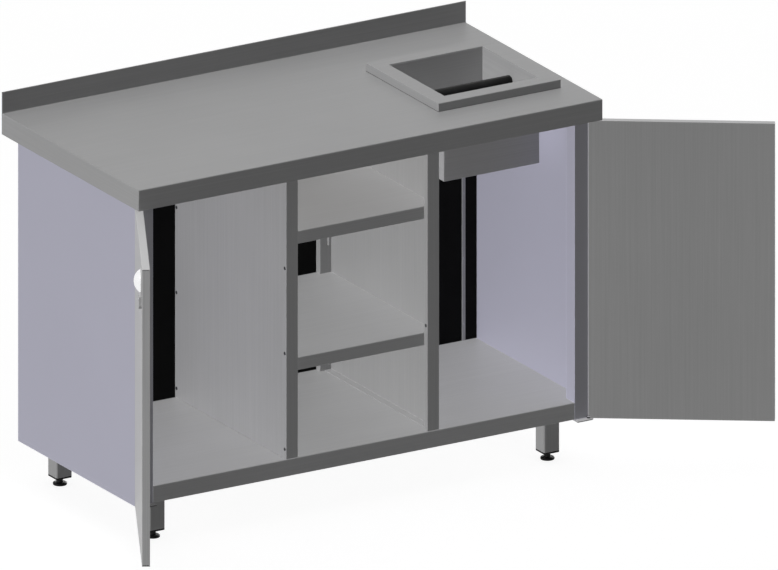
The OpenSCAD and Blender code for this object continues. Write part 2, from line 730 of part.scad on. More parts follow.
module door_leaves(s) hung(s) color([0.7, 0.7, 0.71])
    both_ends() translate([0, 0, -leaf_drop - leaf_t]) difference() {
        union() {
            cylinder(r = leaf_nose_r, h = leaf_t);
            slab([0, leaf_l], [y_leaf - leaf_w, y_leaf], [0, leaf_t]);
        }
        translate([0, 0, -cut]) cylinder(r = bush_r + hole_gap, h = leaf_t + 2 * cut);
    }

// One bush of the door, drawn up from the leaf's inner face to its flange's outer face
module bush(flange_t) difference() {
    union() {
        cylinder(r = bush_r, h = leaf_t + flange_t);
        translate([0, 0, leaf_t]) cylinder(r = bush_flange_r, h = flange_t);
    }
    translate([0, 0, -cut]) cylinder(r = pin_r + run_gap, h = leaf_t + flange_t + 2 * cut);
}

module door_bushes(s) hung(s) color([0.15, 0.15, 0.15]) {
    translate([0, 0, z_door_top - leaf_drop - leaf_t])
        bush(leaf_drop + door_top_gap - plate_t - face_gap);
    translate([0, 0, z_door_foot + leaf_drop + leaf_t]) mirror([0, 0, 1])
        bush(leaf_drop + door_foot_gap - face_gap);
}

// Grips: the dome is open towards the hinge side

module grip_plate(s) hung(s) color([0.5, 0.5, 0.51]) difference() {
    x = grip_x(s);
    top = z_dome + dome_r;
    foot = top - grip_h;
    block = z_dome - dome_r - face_gap;
    corner = grip_corner_r;
    y = [y_outer_face - grip_plate_t, y_outer_face];
    y_block = [y_outer_face - grip_block_t, y_outer_face];
    union() {
        bar_y(dome_r, x, y, z_dome);
        slab(around(x, 2 * dome_r), y, [foot + corner, z_dome]);
        slab(around(x, 2 * dome_r), y_block, [foot + corner, block]);
        slab(around(x, 2 * (dome_r - corner)), y_block, [foot, block]);
        for (a = [-1, 1]) bar_y(corner, x + a * (dome_r - corner), y_block, foot + corner);
    }
    grip_screw_holes(s, cut);
}

module grip_dome(s) hung(s) color([0.9, 0.9, 0.92]) intersection() {
    x = grip_x(s);
    y = y_outer_face - dome_out + dome_ball_r;
    difference() {
        translate([x, y, z_dome]) sphere(r = dome_ball_r);
        translate([x, y, z_dome]) sphere(r = dome_ball_r - dome_wall);
    }
    slab([x - dome_mouth, x + dome_r], [y_outer_face - dome_out - cut, y_outer_face - grip_plate_t],
         around(z_dome, 2 * dome_r));
}

module grip_screws_shape(s) hung(s) color([0.4, 0.4, 0.42]) for (p = grip_screws(s)) {
    y_face = y_outer_face - p[2];
    bar_y(grip_screw_r, p[0], [y_face, y_outer_face + skin_t + grip_screw_bite], p[1]);
    bar_y(grip_screw_head_r, p[0], [y_face - grip_screw_head_t, y_face], p[1]);
}

// Knock box

module knock_collar() color([0.7, 0.7, 0.71]) difference() {
    slab(around(x_knock, collar_s), around(y_knock, collar_s), [top_z, z_collar]);
    slab(around(x_knock, collar_s - 2 * bin_wall), around(y_knock, collar_s - 2 * bin_wall),
         [top_z - cut, z_collar - bin_wall]);
    slab(around(x_knock, mouth_s), around(y_knock, mouth_s), [top_z, z_collar + cut]);
}

module knock_bin() color([0.6, 0.6, 0.61]) difference() {
    z0 = top_z - bin_drop;
    z1 = z_collar - bin_wall;
    flange = bin_s + 2 * bin_flange;
    union() {
        slab(around(x_knock, bin_s), around(y_knock, bin_s), [z0, z1]);
        slab(around(x_knock, flange), around(y_knock, flange), [z1 - bin_wall, z1]);
    }
    slab(around(x_knock, bin_inner_s), around(y_knock, bin_inner_s), [z0 + bin_wall, z1 + cut]);
    bar_x(rod_r + hole_gap, around(x_knock, bin_s + 2 * cut), y_knock, z_bar);
}

module knock_bar_rod() color([0.6, 0.6, 0.62]) {
    bar_x(rod_r, around(x_knock, bin_s), y_knock, z_bar);
    for (a = [-1, 1]) bar_x(rod_head_r, around(x_knock + a * (bin_s + rod_head_t) / 2, rod_head_t),
                            y_knock, z_bar);
}

module knock_bar_sleeve() color([0.05, 0.05, 0.05]) difference() {
    bar_x(sleeve_r, around(x_knock, bin_inner_s - 2 * sleeve_gap), y_knock, z_bar);
    bar_x(rod_r, around(x_knock, bin_s), y_knock, z_bar);
}

worktop();
worktop_core();
worktop_screws();
side_panel(LEFT);  // left_side_panel
side_panel(RIGHT);  // right_side_panel
divider(LEFT);  // left_divider
divider(RIGHT);  // right_divider
divider_rivets();
floor_panel();
floor_channels();
shelf(z_floor + upper_shelf_up);  // upper_shelf
shelf(z_floor + lower_shelf_up);  // lower_shelf
shelf_angles();
back_panel();
back_strips();
back_rivets();
rear_post(LEFT);  // left_rear_post
rear_post(RIGHT);  // right_rear_post
leg(LEFT, -1);  // front_left_leg
leg(RIGHT, -1);  // front_right_leg
leg(LEFT, 1);  // rear_left_leg
leg(RIGHT, 1);  // rear_right_leg
leg_bolts();
leg_plugs();
spindle(LEFT, -1);  // front_left_spindle
spindle(RIGHT, -1);  // front_right_spindle
spindle(LEFT, 1);  // rear_left_spindle
spindle(RIGHT, 1);  // rear_right_spindle
foot_pad(LEFT, -1);  // front_left_foot_pad
foot_pad(RIGHT, -1);  // front_right_foot_pad
foot_pad(LEFT, 1);  // rear_left_foot_pad
foot_pad(RIGHT, 1);  // rear_right_foot_pad
pivot_plates(LEFT);  // left_pivot_plates
pivot_plates(RIGHT);  // right_pivot_plates
pivot_pins(LEFT);  // left_pivot_pins
pivot_pins(RIGHT);  // right_pivot_pins
door_outer_skin(LEFT);  // left_door_outer_skin
door_inner_skin(LEFT);  // left_door_inner_skin
door_core(LEFT);  // left_door_core
door_leaves(LEFT);  // left_door_leaves
door_bushes(LEFT);  // left_door_bushes
door_magnets(LEFT);  // left_door_magnets
grip_plate(LEFT);  // left_grip_plate
grip_dome(LEFT);  // left_grip_dome
grip_screws_shape(LEFT);  // left_grip_screws
door_outer_skin(RIGHT);  // right_door_outer_skin
door_inner_skin(RIGHT);  // right_door_inner_skin
door_core(RIGHT);  // right_door_core
door_leaves(RIGHT);  // right_door_leaves
door_bushes(RIGHT);  // right_door_bushes
door_magnets(RIGHT);  // right_door_magnets
grip_plate(RIGHT);  // right_grip_plate
grip_dome(RIGHT);  // right_grip_dome
grip_screws_shape(RIGHT);  // right_grip_screws
knock_collar();
knock_bin();
knock_bar_rod();
knock_bar_sleeve();
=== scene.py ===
"""Looks of the barista station: folded sheet with real bends, grips, feet and finishes."""

import json
import math

import bmesh
import bpy
from mathutils import Matrix, Vector

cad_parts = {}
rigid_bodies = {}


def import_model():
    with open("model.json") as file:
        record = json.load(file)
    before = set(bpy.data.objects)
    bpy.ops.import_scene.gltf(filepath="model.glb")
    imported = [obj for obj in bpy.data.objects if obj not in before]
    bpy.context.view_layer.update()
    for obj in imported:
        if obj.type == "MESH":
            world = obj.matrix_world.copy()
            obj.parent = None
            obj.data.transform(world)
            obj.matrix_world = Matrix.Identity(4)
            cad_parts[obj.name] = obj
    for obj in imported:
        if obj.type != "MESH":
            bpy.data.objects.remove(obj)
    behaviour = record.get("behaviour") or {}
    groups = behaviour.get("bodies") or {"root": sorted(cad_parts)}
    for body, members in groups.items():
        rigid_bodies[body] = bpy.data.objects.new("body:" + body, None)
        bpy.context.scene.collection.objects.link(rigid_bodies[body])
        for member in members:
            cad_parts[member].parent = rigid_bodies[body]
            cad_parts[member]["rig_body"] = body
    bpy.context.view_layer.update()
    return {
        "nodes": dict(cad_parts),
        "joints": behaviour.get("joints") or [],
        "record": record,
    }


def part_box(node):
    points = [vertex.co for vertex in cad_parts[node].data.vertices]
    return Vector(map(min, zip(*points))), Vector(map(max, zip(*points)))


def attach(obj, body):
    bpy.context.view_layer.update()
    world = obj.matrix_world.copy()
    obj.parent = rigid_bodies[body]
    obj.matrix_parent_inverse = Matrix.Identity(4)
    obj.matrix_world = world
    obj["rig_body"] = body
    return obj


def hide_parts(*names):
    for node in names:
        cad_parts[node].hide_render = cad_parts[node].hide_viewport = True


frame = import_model()
nodes = frame["nodes"]
joints = {joint["name"]: joint for joint in frame["joints"]}
slot_of = {part["node"]: part["material_slot"] for part in frame["record"]["subparts"]}
MM = 0.001
SIDES = ("left", "right")
CORNERS = ("front_left", "front_right", "rear_left", "rear_right")


# Camera: the photograph is a parallel projection

VIEW_AZIMUTH = math.radians(-30.6)
VIEW_ELEVATION = math.radians(19.48)
VIEW_WIDTH = 1.731
VIEW_TARGET = Vector((0.1781, -0.0717, 0.430))
VIEW_DISTANCE = 6.0
VIEW_FAR = 40.0


def add_camera():
    """A parallel camera at the photograph's angle, aimed at the middle of its frame."""
    camera = bpy.data.objects.new("camera", bpy.data.cameras.new("camera"))
    bpy.context.scene.collection.objects.link(camera)
    camera.data.type = "ORTHO"
    camera.data.ortho_scale = VIEW_WIDTH
    camera.data.clip_end = VIEW_FAR
    level = math.cos(VIEW_ELEVATION)
    towards = Vector((-math.sin(VIEW_AZIMUTH) * level, math.cos(VIEW_AZIMUTH) * level,
                      -math.sin(VIEW_ELEVATION)))
    camera.location = VIEW_TARGET - towards * VIEW_DISTANCE
    camera.rotation_euler = towards.to_track_quat("-Z", "Y").to_euler()
    bpy.context.scene.camera = camera


# Studio: pale floor and background, plain light from the left, a weaker one from behind

KEY_TOWARDS = Vector((-0.82, 0.0, 0.57))
KEY_STRENGTH = 1.88
FILL_TOWARDS = Vector((0.75, 0.60, 0.25))
FILL_STRENGTH = 1.2
SOFT_TOWARDS = Vector((0.05, 0.05, 1.0))
SOFT_STRENGTH = 0.25
SOFT_ANGLE = math.radians(60)
AMBIENT = 0.095
WHITE = (1, 1, 1, 1)
FLOOR_SIZE = 24.0
FLOOR_DROP = 0.2 * MM
FLOOR_WHITE = 0.4
FLOOR_GLOW = 1.68
FLOOR_COLOR = (0.88, 0.88, 0.88, 1)
FLOOR_BOUNCE = (0.28, 0.28, 0.28, 1)


def add_sun(name, towards, strength, angle=0.0):
    """A far lamp. Without an angle it casts no shadow and lights all that faces it alike."""
    lamp = bpy.data.lights.new(name, "SUN")
    lamp.energy = strength
    lamp.angle = angle
    lamp.use_shadow = angle > 0
    sun = bpy.data.objects.new(name, lamp)
    sun.rotation_euler = towards.to_track_quat("Z", "Y").to_euler()
    bpy.context.scene.collection.objects.link(sun)


def background_rays(tree):
    """1 for rays that show the background: from the camera, or in metal or glass. Else 0."""
    path = tree.nodes.new("ShaderNodeLightPath")
    rays = path.outputs["Is Camera Ray"]
    for kind in ("Is Glossy Ray", "Is Transmission Ray"):
        either = tree.nodes.new("ShaderNodeMath")
        either.operation = "MAXIMUM"
        tree.links.new(rays, either.inputs[0])
        tree.links.new(path.outputs[kind], either.inputs[1])
        rays = either.outputs[0]
    return rays


def plain(tree, kind, color):
    """A shader node of one colour."""
    node = tree.nodes.new("ShaderNode" + kind)
    node.inputs["Color"].default_value = color
    return node


def by_ray(tree, unseen, seen, output):
    """Links one shader for rays that show the background and another for all the rest."""
    mix = tree.nodes.new("ShaderNodeMixShader")
    tree.links.new(background_rays(tree), mix.inputs[0])
    tree.links.new(unseen.outputs[0], mix.inputs[1])
    tree.links.new(seen.outputs[0], mix.inputs[2])
    tree.links.new(mix.outputs[0], output.inputs["Surface"])


def add_world():
    """White behind the object, and a weak even light from all sides."""
    world = bpy.data.worlds.new("studio")
    bpy.context.scene.world = world
    world.use_nodes = True
    tree = world.node_tree
    even = tree.nodes["Background"]
    even.inputs["Strength"].default_value = AMBIENT
    even.inputs["Color"].default_value = WHITE
    by_ray(tree, even, plain(tree, "Background", WHITE), tree.nodes["World Output"])


def add_floor():
    """A pale floor that keeps the object's soft shadow and throws little light back up."""
    work = bmesh.new()
    bmesh.ops.create_grid(work, x_segments=1, y_segments=1, size=FLOOR_SIZE / 2)
    mesh = bpy.data.meshes.new("floor")
    work.to_mesh(mesh)
    work.free()
    floor = bpy.data.objects.new("floor", mesh)
    floor.location.z = -FLOOR_DROP
    bpy.context.scene.collection.objects.link(floor)
    material = bpy.data.materials.new("pale_floor")
    material.use_nodes = True
    tree = material.node_tree
    tree.nodes.remove(tree.nodes["Principled BSDF"])
    glow = plain(tree, "Emission", WHITE)
    glow.inputs["Strength"].default_value = FLOOR_GLOW
    seen = tree.nodes.new("ShaderNodeMixShader")
    seen.inputs[0].default_value = FLOOR_WHITE
    tree.links.new(plain(tree, "BsdfDiffuse", FLOOR_COLOR).outputs[0], seen.inputs[1])
    tree.links.new(glow.outputs[0], seen.inputs[2])
    bounce = plain(tree, "BsdfDiffuse", FLOOR_BOUNCE)
    by_ray(tree, bounce, seen, tree.nodes["Material Output"])
    mesh.materials.append(material)


# Finishes

def shaded(color, factor):
    """A colour made lighter or darker by a factor."""
    return tuple(min(1.0, c * factor) for c in color[:3]) + (1.0,)


class Finish:
    """A material and short calls for the nodes that the finishes share."""

    def __init__(self, name, metallic=0.0, specular=0.5, roughness=0.5):
        self.material = bpy.data.materials.new(name)
        self.material.use_nodes = True
        self.tree = self.material.node_tree
        self.shader = self.tree.nodes["Principled BSDF"]
        self.shader.inputs["Metallic"].default_value = metallic
        self.shader.inputs["Specular IOR Level"].default_value = specular
        self.shader.inputs["Roughness"].default_value = roughness
        self.coordinates = self.tree.nodes.new("ShaderNodeTexCoord")

    def node(self, kind, sockets=None, **properties):
        """A new node with its properties set and its inputs set or linked."""
        made = self.tree.nodes.new("ShaderNode" + kind)
        for key, value in properties.items():
            setattr(made, key, value)
        for socket, value in (sockets or {}).items():
            if isinstance(value, bpy.types.NodeSocket):
                self.tree.links.new(value, made.inputs[socket])
            else:
                made.inputs[socket].default_value = value
        return made

    def noise(self, scale, detail=3.0):
        """Noise with so many grains a metre along X, Y and Z."""
        place = self.coordinates.outputs["Object"]
        mapping = self.node("Mapping", {"Vector": place, "Scale": scale})
        return self.node("TexNoise", {"Vector": mapping.outputs[0], "Scale": 1.0, "Detail": detail,
                                      "Roughness": 0.6}).outputs[0]

    def spread(self, factor, low, high, start=0.3, end=0.7):
        """A factor's middle range, spread from low to high."""
        sockets = {"Value": factor, "From Min": start, "From Max": end,
                   "To Min": low, "To Max": high}
        return self.node("MapRange", sockets).outputs[0]

    def math(self, operation, first, second):
        """The result of an operation on two values or outputs."""
        return self.node("Math", {0: first, 1: second}, operation=operation).outputs[0]

    def mix(self, factor, first, second):
        """A colour between two colours. A Mix node has them at inputs 6 and 7 and output 2."""
        sockets = {0: factor, 6: first, 7: second}
        return self.node("Mix", sockets, data_type="RGBA").outputs[2]

    def edges(self, radius):
        """1 where an edge lies within a radius, 0 on flat faces."""
        rounded = self.node("Bevel", {"Radius": radius}, samples=4)
        flat = self.node("NewGeometry")
        dot = self.node("VectorMath", {0: rounded.outputs[0], 1: flat.outputs["Normal"]},
                        operation="DOT_PRODUCT")
        return self.spread(dot.outputs["Value"], 1.0, 0.0, 0.80, 0.985)

    def edge_wear_and_highlight(self, tone, radius, amount, color):
        """The tone with another colour along the edges, within a radius of them: edge wear and a
        painted highlight.
        """
        return self.mix(self.math("MULTIPLY", self.edges(radius), amount), tone, color)

    def cells(self, scale):
        """Cells of so many grains a metre."""
        place = self.coordinates.outputs["Object"]
        return self.node("TexVoronoi", {"Vector": place, "Scale": scale})

    def facing(self, axis):
        """How much a face looks along an axis of its object: 1 along it, -1 against it."""
        return self.node("VectorMath", {0: self.coordinates.outputs["Normal"], 1: axis},
                         operation="DOT_PRODUCT").outputs["Value"]

    def bump(self, height, depth, strength):
        """Adds a bump whose full height is a depth in metres, on top of any bump added before."""
        sockets = {"Height": height, "Distance": depth, "Strength": strength}
        before = self.shader.inputs["Normal"]
        if before.is_linked:
            sockets["Normal"] = before.links[0].from_socket
        self.link(self.node("Bump", sockets).outputs[0], "Normal")

    def link(self, output, socket):
        """Links an output to one of the shader's inputs."""
        self.tree.links.new(output, self.shader.inputs[socket])


GRAIN_ALONG = 2.5
GRAIN_ACROSS = 330.0
GRAIN_DEPTH = 0.02 * MM
SQUARE_TO_GRAIN = 0.6
DENT_DEPTH = 0.5 * MM
# Radii of the lighter edges: edge wear and a painted highlight.
STEEL_EDGE_WEAR_AND_HIGHLIGHT = 2.5 * MM
PAINT_EDGE_WEAR_AND_HIGHLIGHT = 3.0 * MM
PLASTIC_EDGE_WEAR_AND_HIGHLIGHT = 0.8 * MM
PEEL_DEPTH = 0.03 * MM
ZINC_DEPTH = 0.02 * MM
HAIR_DEPTH = 0.005 * MM
PEBBLE_DEPTH = 0.08 * MM
CHIP_DEPTH = 0.25 * MM


def grain_vector(finish, along):
    """Object coordinates stretched along the grain, or across it on faces square to it."""
    axis = [1.0 if name == along else 0.0 for name in "XYZ"]
    main = [GRAIN_ALONG if on else GRAIN_ACROSS for on in axis]
    other = main[-1:] + main[:-1]
    place = finish.coordinates.outputs["Object"]
    first = finish.node("Mapping", {"Vector": place, "Scale": main}).outputs[0]
    second = finish.node("Mapping", {"Vector": place, "Scale": other}).outputs[0]
    square = finish.math("GREATER_THAN", finish.math("ABSOLUTE", finish.facing(axis), 0.0),
                         SQUARE_TO_GRAIN)
    return finish.node("Mix", {0: square, 4: first, 5: second}, data_type="VECTOR").outputs[1]


def brushed(name, color, along, top=1.0):
    """Satin stainless sheet: fine grain, faint clouds, light scratches, edges lighter by wear and a
    painted highlight, and faces looking up lighter by the factor top as painted light.
    """
    finish = Finish(name, 0.06, 0.2)
    stretched = grain_vector(finish, along)
    fine = finish.node("TexNoise", {"Vector": stretched, "Scale": 1.0, "Detail": 4.0,
                                    "Roughness": 0.65}).outputs[0]
    clouds = finish.noise((3.1, 3.1, 3.1), 2.0)
    scratches = finish.node("TexNoise", {"Vector": stretched, "Scale": 0.42,
                                         "Detail": 2.0}).outputs[0]
    marks = finish.spread(scratches, 0.0, 1.0, 0.68, 0.74)
    grain = finish.spread(finish.math("ADD", finish.math("MULTIPLY", fine, 0.7),
                                      finish.math("MULTIPLY", clouds, 0.3)), 0.0, 1.0, 0.35, 0.65)
    tone = finish.mix(grain, shaded(color, 0.94), shaded(color, 1.06))
    tone = finish.mix(finish.math("MULTIPLY", marks, 0.12), tone, shaded(color, 1.35))
    # Faces looking up get a lighter colour by the factor top: painted light on the tops.
    if top != 1.0:
        painted_light_on_tops = finish.spread(finish.facing((0, 0, 1)), 0.0, 1.0, 0.5, 0.9)
        tone = finish.mix(painted_light_on_tops, tone, shaded(color, top))
    tone = finish.edge_wear_and_highlight(tone, STEEL_EDGE_WEAR_AND_HIGHLIGHT, 0.6, shaded(color, 1.45))
    finish.link(tone, "Base Color")
    finish.link(finish.spread(fine, 0.40, 0.53), "Roughness")
    finish.bump(fine, GRAIN_DEPTH, 0.35)
    finish.bump(clouds, DENT_DEPTH, 0.25)
    return finish.material


def painted(name, color, thin_color):
    """Smooth paint with faint orange peel, thinner on the narrow folds, paler on its edges by wear
    and a painted highlight.
    """
    finish = Finish(name, 0.0, 0.35)
    peel = finish.noise((420, 420, 420), 2.0)
    clouds = finish.noise((2.4, 2.4, 2.4), 3.0)
    sideways = finish.math("ABSOLUTE", finish.facing((1, 0, 0)), 0.0)
    side = finish.spread(sideways, 0.35, 1.0, 0.3, 0.8)
    coat = finish.mix(side, thin_color, color)
    dark = finish.mix(side, shaded(thin_color, 0.97), shaded(color, 0.97))
    tone = finish.mix(finish.spread(clouds, 0.0, 1.0), dark, coat)
    tone = finish.edge_wear_and_highlight(tone, PAINT_EDGE_WEAR_AND_HIGHLIGHT, 0.8, shaded(color, 1.6))
    finish.link(tone, "Base Color")
    finish.link(finish.spread(peel, 0.40, 0.52), "Roughness")
    finish.bump(peel, PEEL_DEPTH, 0.4)
    return finish.material


def zinc(name, color):
    """Zinc plating: cool metal with small bright and dull patches."""
    finish = Finish(name, 0.75, 0.5)
    patches = finish.spread(finish.cells(260.0).outputs["Distance"], 0.0, 1.0, 0.1, 0.7)
    dull = finish.noise((90, 90, 90), 4.0)
    tone = finish.mix(patches, shaded(color, 0.86), shaded(color, 1.12))
    finish.link(tone, "Base Color")
    finish.link(finish.spread(dull, 0.28, 0.48), "Roughness")
    finish.bump(dull, ZINC_DEPTH, 0.4)
    return finish.material


def polished(name, color):
    """Bright polished metal with hairline marks and faint haze."""
    finish = Finish(name, 0.85, 0.5)
    haze = finish.noise((60, 60, 60), 4.0)
    hairs = finish.noise((900, 900, 24), 3.0)
    tone = finish.mix(finish.spread(haze, 0.0, 1.0), shaded(color, 0.97), shaded(color, 1.03))
    finish.link(tone, "Base Color")
    finish.link(finish.spread(hairs, 0.10, 0.20), "Roughness")
    finish.bump(hairs, HAIR_DEPTH, 0.2)
    return finish.material


def moulded(name, color, roughness=0.55, depth=0.03 * MM, specular=0.3):
    """Moulded plastic or laminate with a fine even texture, and edges lighter by wear and a painted
    highlight.
    """
    finish = Finish(name, 0.0, specular)
    texture = finish.noise((700, 700, 700), 3.0)
    clouds = finish.noise((9, 9, 9), 3.0)
    tone = finish.mix(finish.spread(clouds, 0.0, 1.0), shaded(color, 0.85), shaded(color, 1.15))
    tone = finish.edge_wear_and_highlight(tone, PLASTIC_EDGE_WEAR_AND_HIGHLIGHT, 0.12, shaded(color, 2.2))
    finish.link(tone, "Base Color")
    finish.link(finish.spread(texture, roughness - 0.08, roughness + 0.08), "Roughness")
    finish.bump(texture, depth, 0.5)
    return finish.material


def rubbery(name, color):
    """Matt rubber with a pebbled skin and paler dust in its low places."""
    finish = Finish(name, 0.0, 0.15)
    pebbles = finish.noise((520, 520, 520), 2.0)
    dust = finish.noise((35, 35, 35), 5.0)
    tone = finish.mix(finish.spread(dust, 0.0, 0.5, 0.5, 0.8), color, shaded(color, 3.0))
    finish.link(tone, "Base Color")
    finish.link(finish.spread(pebbles, 0.48, 0.66), "Roughness")
    finish.bump(pebbles, PEBBLE_DEPTH, 0.5)
    return finish.material


def pressed_board(name, color):
    """Pressed board: flat chips in three tones, with small gaps between them."""
    finish = Finish(name, 0.0, 0.2, 0.85)
    chips = finish.cells(210.0)
    fibre = finish.noise((160, 160, 900), 4.0)
    shade = finish.spread(chips.outputs["Color"], 0.0, 1.0, 0.1, 0.9)
    tone = finish.mix(shade, shaded(color, 0.72), shaded(color, 1.2))
    tone = finish.mix(finish.spread(fibre, 0.0, 0.5), tone, shaded(color, 0.6))
    finish.link(tone, "Base Color")
    finish.bump(finish.math("ADD", chips.outputs["Distance"], fibre), CHIP_DEPTH, 0.6)
    return finish.material


WORKTOP_STEEL = (0.395, 0.395, 0.398, 1)
PANEL_STEEL = (0.45, 0.45, 0.453, 1)
SHELF_STEEL = (0.48, 0.48, 0.484, 1)
LEG_STEEL = (0.39, 0.39, 0.392, 1)
DOOR_STEEL = (0.555, 0.555, 0.558, 1)
# The right door's outer skin is a darker copy of the door steel: painted shade that dulls the
# highlight on its hinge edge.
DOOR_STEEL_PAINTED_SHADE = (0.45, 0.45, 0.453, 1)
# Door tops are painted lighter by this factor: painted light.
DOOR_TOP_PAINTED_LIGHT = 1.3
DOOR_INNER_STEEL = (0.39, 0.39, 0.39, 1)
LAVENDER = (0.525, 0.52, 0.625, 1)
LAVENDER_THIN = (0.50, 0.50, 0.51, 1)

finishes = {
    "steel_worktop": brushed("brushed_worktop", WORKTOP_STEEL, "X"),
    "steel_panel": brushed("brushed_upright", PANEL_STEEL, "Z"),
    "steel_shelf": brushed("brushed_shelf", SHELF_STEEL, "X"),
    "steel_leg": brushed("brushed_leg", LEG_STEEL, "Z"),
    "painted_panel": painted("lavender_paint", LAVENDER, LAVENDER_THIN),
    "door_skin": brushed("brushed_door", DOOR_STEEL, "Z", DOOR_TOP_PAINTED_LIGHT),
    "door_painted_shade": brushed("brushed_door_painted_shade", DOOR_STEEL_PAINTED_SHADE, "Z", DOOR_TOP_PAINTED_LIGHT),
    "door_inner": brushed("brushed_door_inner", DOOR_INNER_STEEL, "Z"),
    "bare_steel": zinc("zinc_plated", (0.45, 0.45, 0.47, 1)),
    "dark_rivets": zinc("dark_rivets", (0.07, 0.07, 0.075, 1)),
    # The pivot plates are one steel in two tones: darker on the left as painted shade, lighter on
    # the right as painted light.
    "plate_painted_shade": brushed("pivot_plate_painted_shade", (0.13, 0.13, 0.132, 1), "X"),
    "plate_painted_light": brushed("pivot_plate_painted_light", (0.62, 0.62, 0.63, 1), "X"),
    "bright_steel": polished("polished_grip", (0.96, 0.96, 0.965, 1)),
    "grip_grey": moulded("grey_grip", (0.58, 0.58, 0.585, 1)),
    "black_panel": moulded("black_laminate", (0.006, 0.006, 0.006, 1), roughness=0.62,
                           depth=0.015 * MM, specular=0.06),
    "board": pressed_board("pressed_board", (0.42, 0.37, 0.31, 1)),
    "black_plastic": moulded("black_plastic", (0.005, 0.005, 0.005, 1), roughness=0.5,
                             specular=0.12),
    "rubber": rubbery("black_rubber", (0.010, 0.010, 0.010, 1)),
    "sealant": rubbery("grey_sealant", (0.12, 0.12, 0.12, 1)),
    "magnet": zinc("magnet_grey", (0.16, 0.16, 0.17, 1)),
}
# The pivot plates get shaded and lit copies of one steel, and the right door's outer skin a darker
# copy of the door steel: painted shade and light.
SPECIAL = {"left_pivot_plates": "plate_painted_shade", "right_pivot_plates": "plate_painted_light",
           "right_door_outer_skin": "door_painted_shade", "divider_rivets": "dark_rivets"}
ALONG_X = ("floor_panel", "upper_shelf", "lower_shelf", "floor_channels", "knock_bin")


def finish_of(node):
    """The material of a CAD node or of the piece that stands for it."""
    if node in ALONG_X:
        return finishes["steel_shelf"]
    if node.endswith("door_inner_skin"):
        return finishes["door_inner"]
    if node.endswith("_leg"):
        return finishes["steel_leg"]
    if node in SPECIAL:
        return finishes[SPECIAL[node]]
    return finishes[slot_of[node]]


# Mesh helpers

SMOOTH_ANGLE = math.radians(32)
NEAR_ANGLE = math.radians(50)
CURVE_ANGLE = (math.radians(1), math.radians(30))
FLAT_ANGLE = math.radians(0.4)
SAME_POINT = 0.002 * MM
SLIVER = 0.003 * MM
TOUCH = 0.01 * MM


def body_of(node):
    """The body that a CAD node belongs to."""
    return nodes[node]["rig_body"]


def new_piece(name, work, node, replaced=(), material=None):
    """Makes an object from a bmesh. It rides with the node's body and has the node's slot."""
    bmesh.ops.recalc_face_normals(work, faces=work.faces)
    mesh = bpy.data.meshes.new(name)
    work.to_mesh(mesh)
    work.free()
    mesh.shade_smooth()
    mesh.set_sharp_from_angle(angle=SMOOTH_ANGLE)
    mesh.materials.append(material or finish_of(node))
    piece = bpy.data.objects.new(name, mesh)
    bpy.context.scene.collection.objects.link(piece)
    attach(piece, body_of(node))
    if replaced:
        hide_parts(*replaced)
    return piece


def apply_modifiers(piece):
    """Bakes a piece's modifiers into its mesh."""
    evaluated = piece.evaluated_get(bpy.context.evaluated_depsgraph_get())
    mesh = bpy.data.meshes.new_from_object(evaluated)
    mesh.name = piece.name
    before = piece.data
    piece.modifiers.clear()
    piece.data = mesh
    bpy.data.meshes.remove(before)


def is_curved(face):
    """True for a facet of a round surface."""
    angles = [edge.calc_face_angle(0.0) for edge in face.edges]
    return any(CURVE_ANGLE[0] < angle < CURVE_ANGLE[1] for angle in angles)


def corner_normal(face, vertex, flats):
    """A flat face keeps its normal; a bend takes over from the flat face that it runs into."""
    if face in flats:
        return face.normal
    near = [other for other in vertex.link_faces
            if other.normal.angle(face.normal, 0.0) < NEAR_ANGLE]
    flat = [other for other in near if other in flats]
    if flat:
        return min(flat, key=lambda other: other.normal.angle(face.normal, 0.0)).normal
    total = sum((other.normal * other.calc_area() for other in near), Vector())
    return total.normalized() if total.length > 0 else face.normal


def keep_flats_flat(piece):
    """Merges slivers, shades flat sheet flat and bends round, then drops the mark of the bends."""
    work = bmesh.new()
    work.from_mesh(piece.data)
    bmesh.ops.remove_doubles(work, verts=work.verts, dist=SLIVER)
    flats = {face for face in work.faces if face.material_index == 0}
    normals = [corner_normal(loop.face, loop.vert, flats).copy() for face in work.faces
               for loop in face.loops]
    for face in work.faces:
        face.material_index = 0
    work.to_mesh(piece.data)
    work.free()
    piece.data.materials.pop(index=1)
    piece.data.shade_smooth()
    piece.data.normals_split_custom_set(normals)


def flat_faces(node):
    """The CAD node's mesh, its triangles joined into flat faces, curved ones marked by 1."""
    work = bmesh.new()
    work.from_mesh(nodes[node].data)
    bmesh.ops.remove_doubles(work, verts=work.verts, dist=SAME_POINT)
    bmesh.ops.dissolve_limit(work, angle_limit=FLAT_ANGLE, verts=work.verts, edges=work.edges)
    for face in work.faces:
        face.material_index = int(is_curved(face))
    return work


def touching(first, second):
    """True if two boxes touch or overlap."""
    return all(first[0][k] <= second[1][k] + TOUCH and second[0][k] <= first[1][k] + TOUCH
               for k in range(3))


def span_of(points):
    """Lowest and highest corner of the box round some points."""
    return (Vector([min(p[k] for p in points) for k in range(3)]),
            Vector([max(p[k] for p in points) for k in range(3)]))


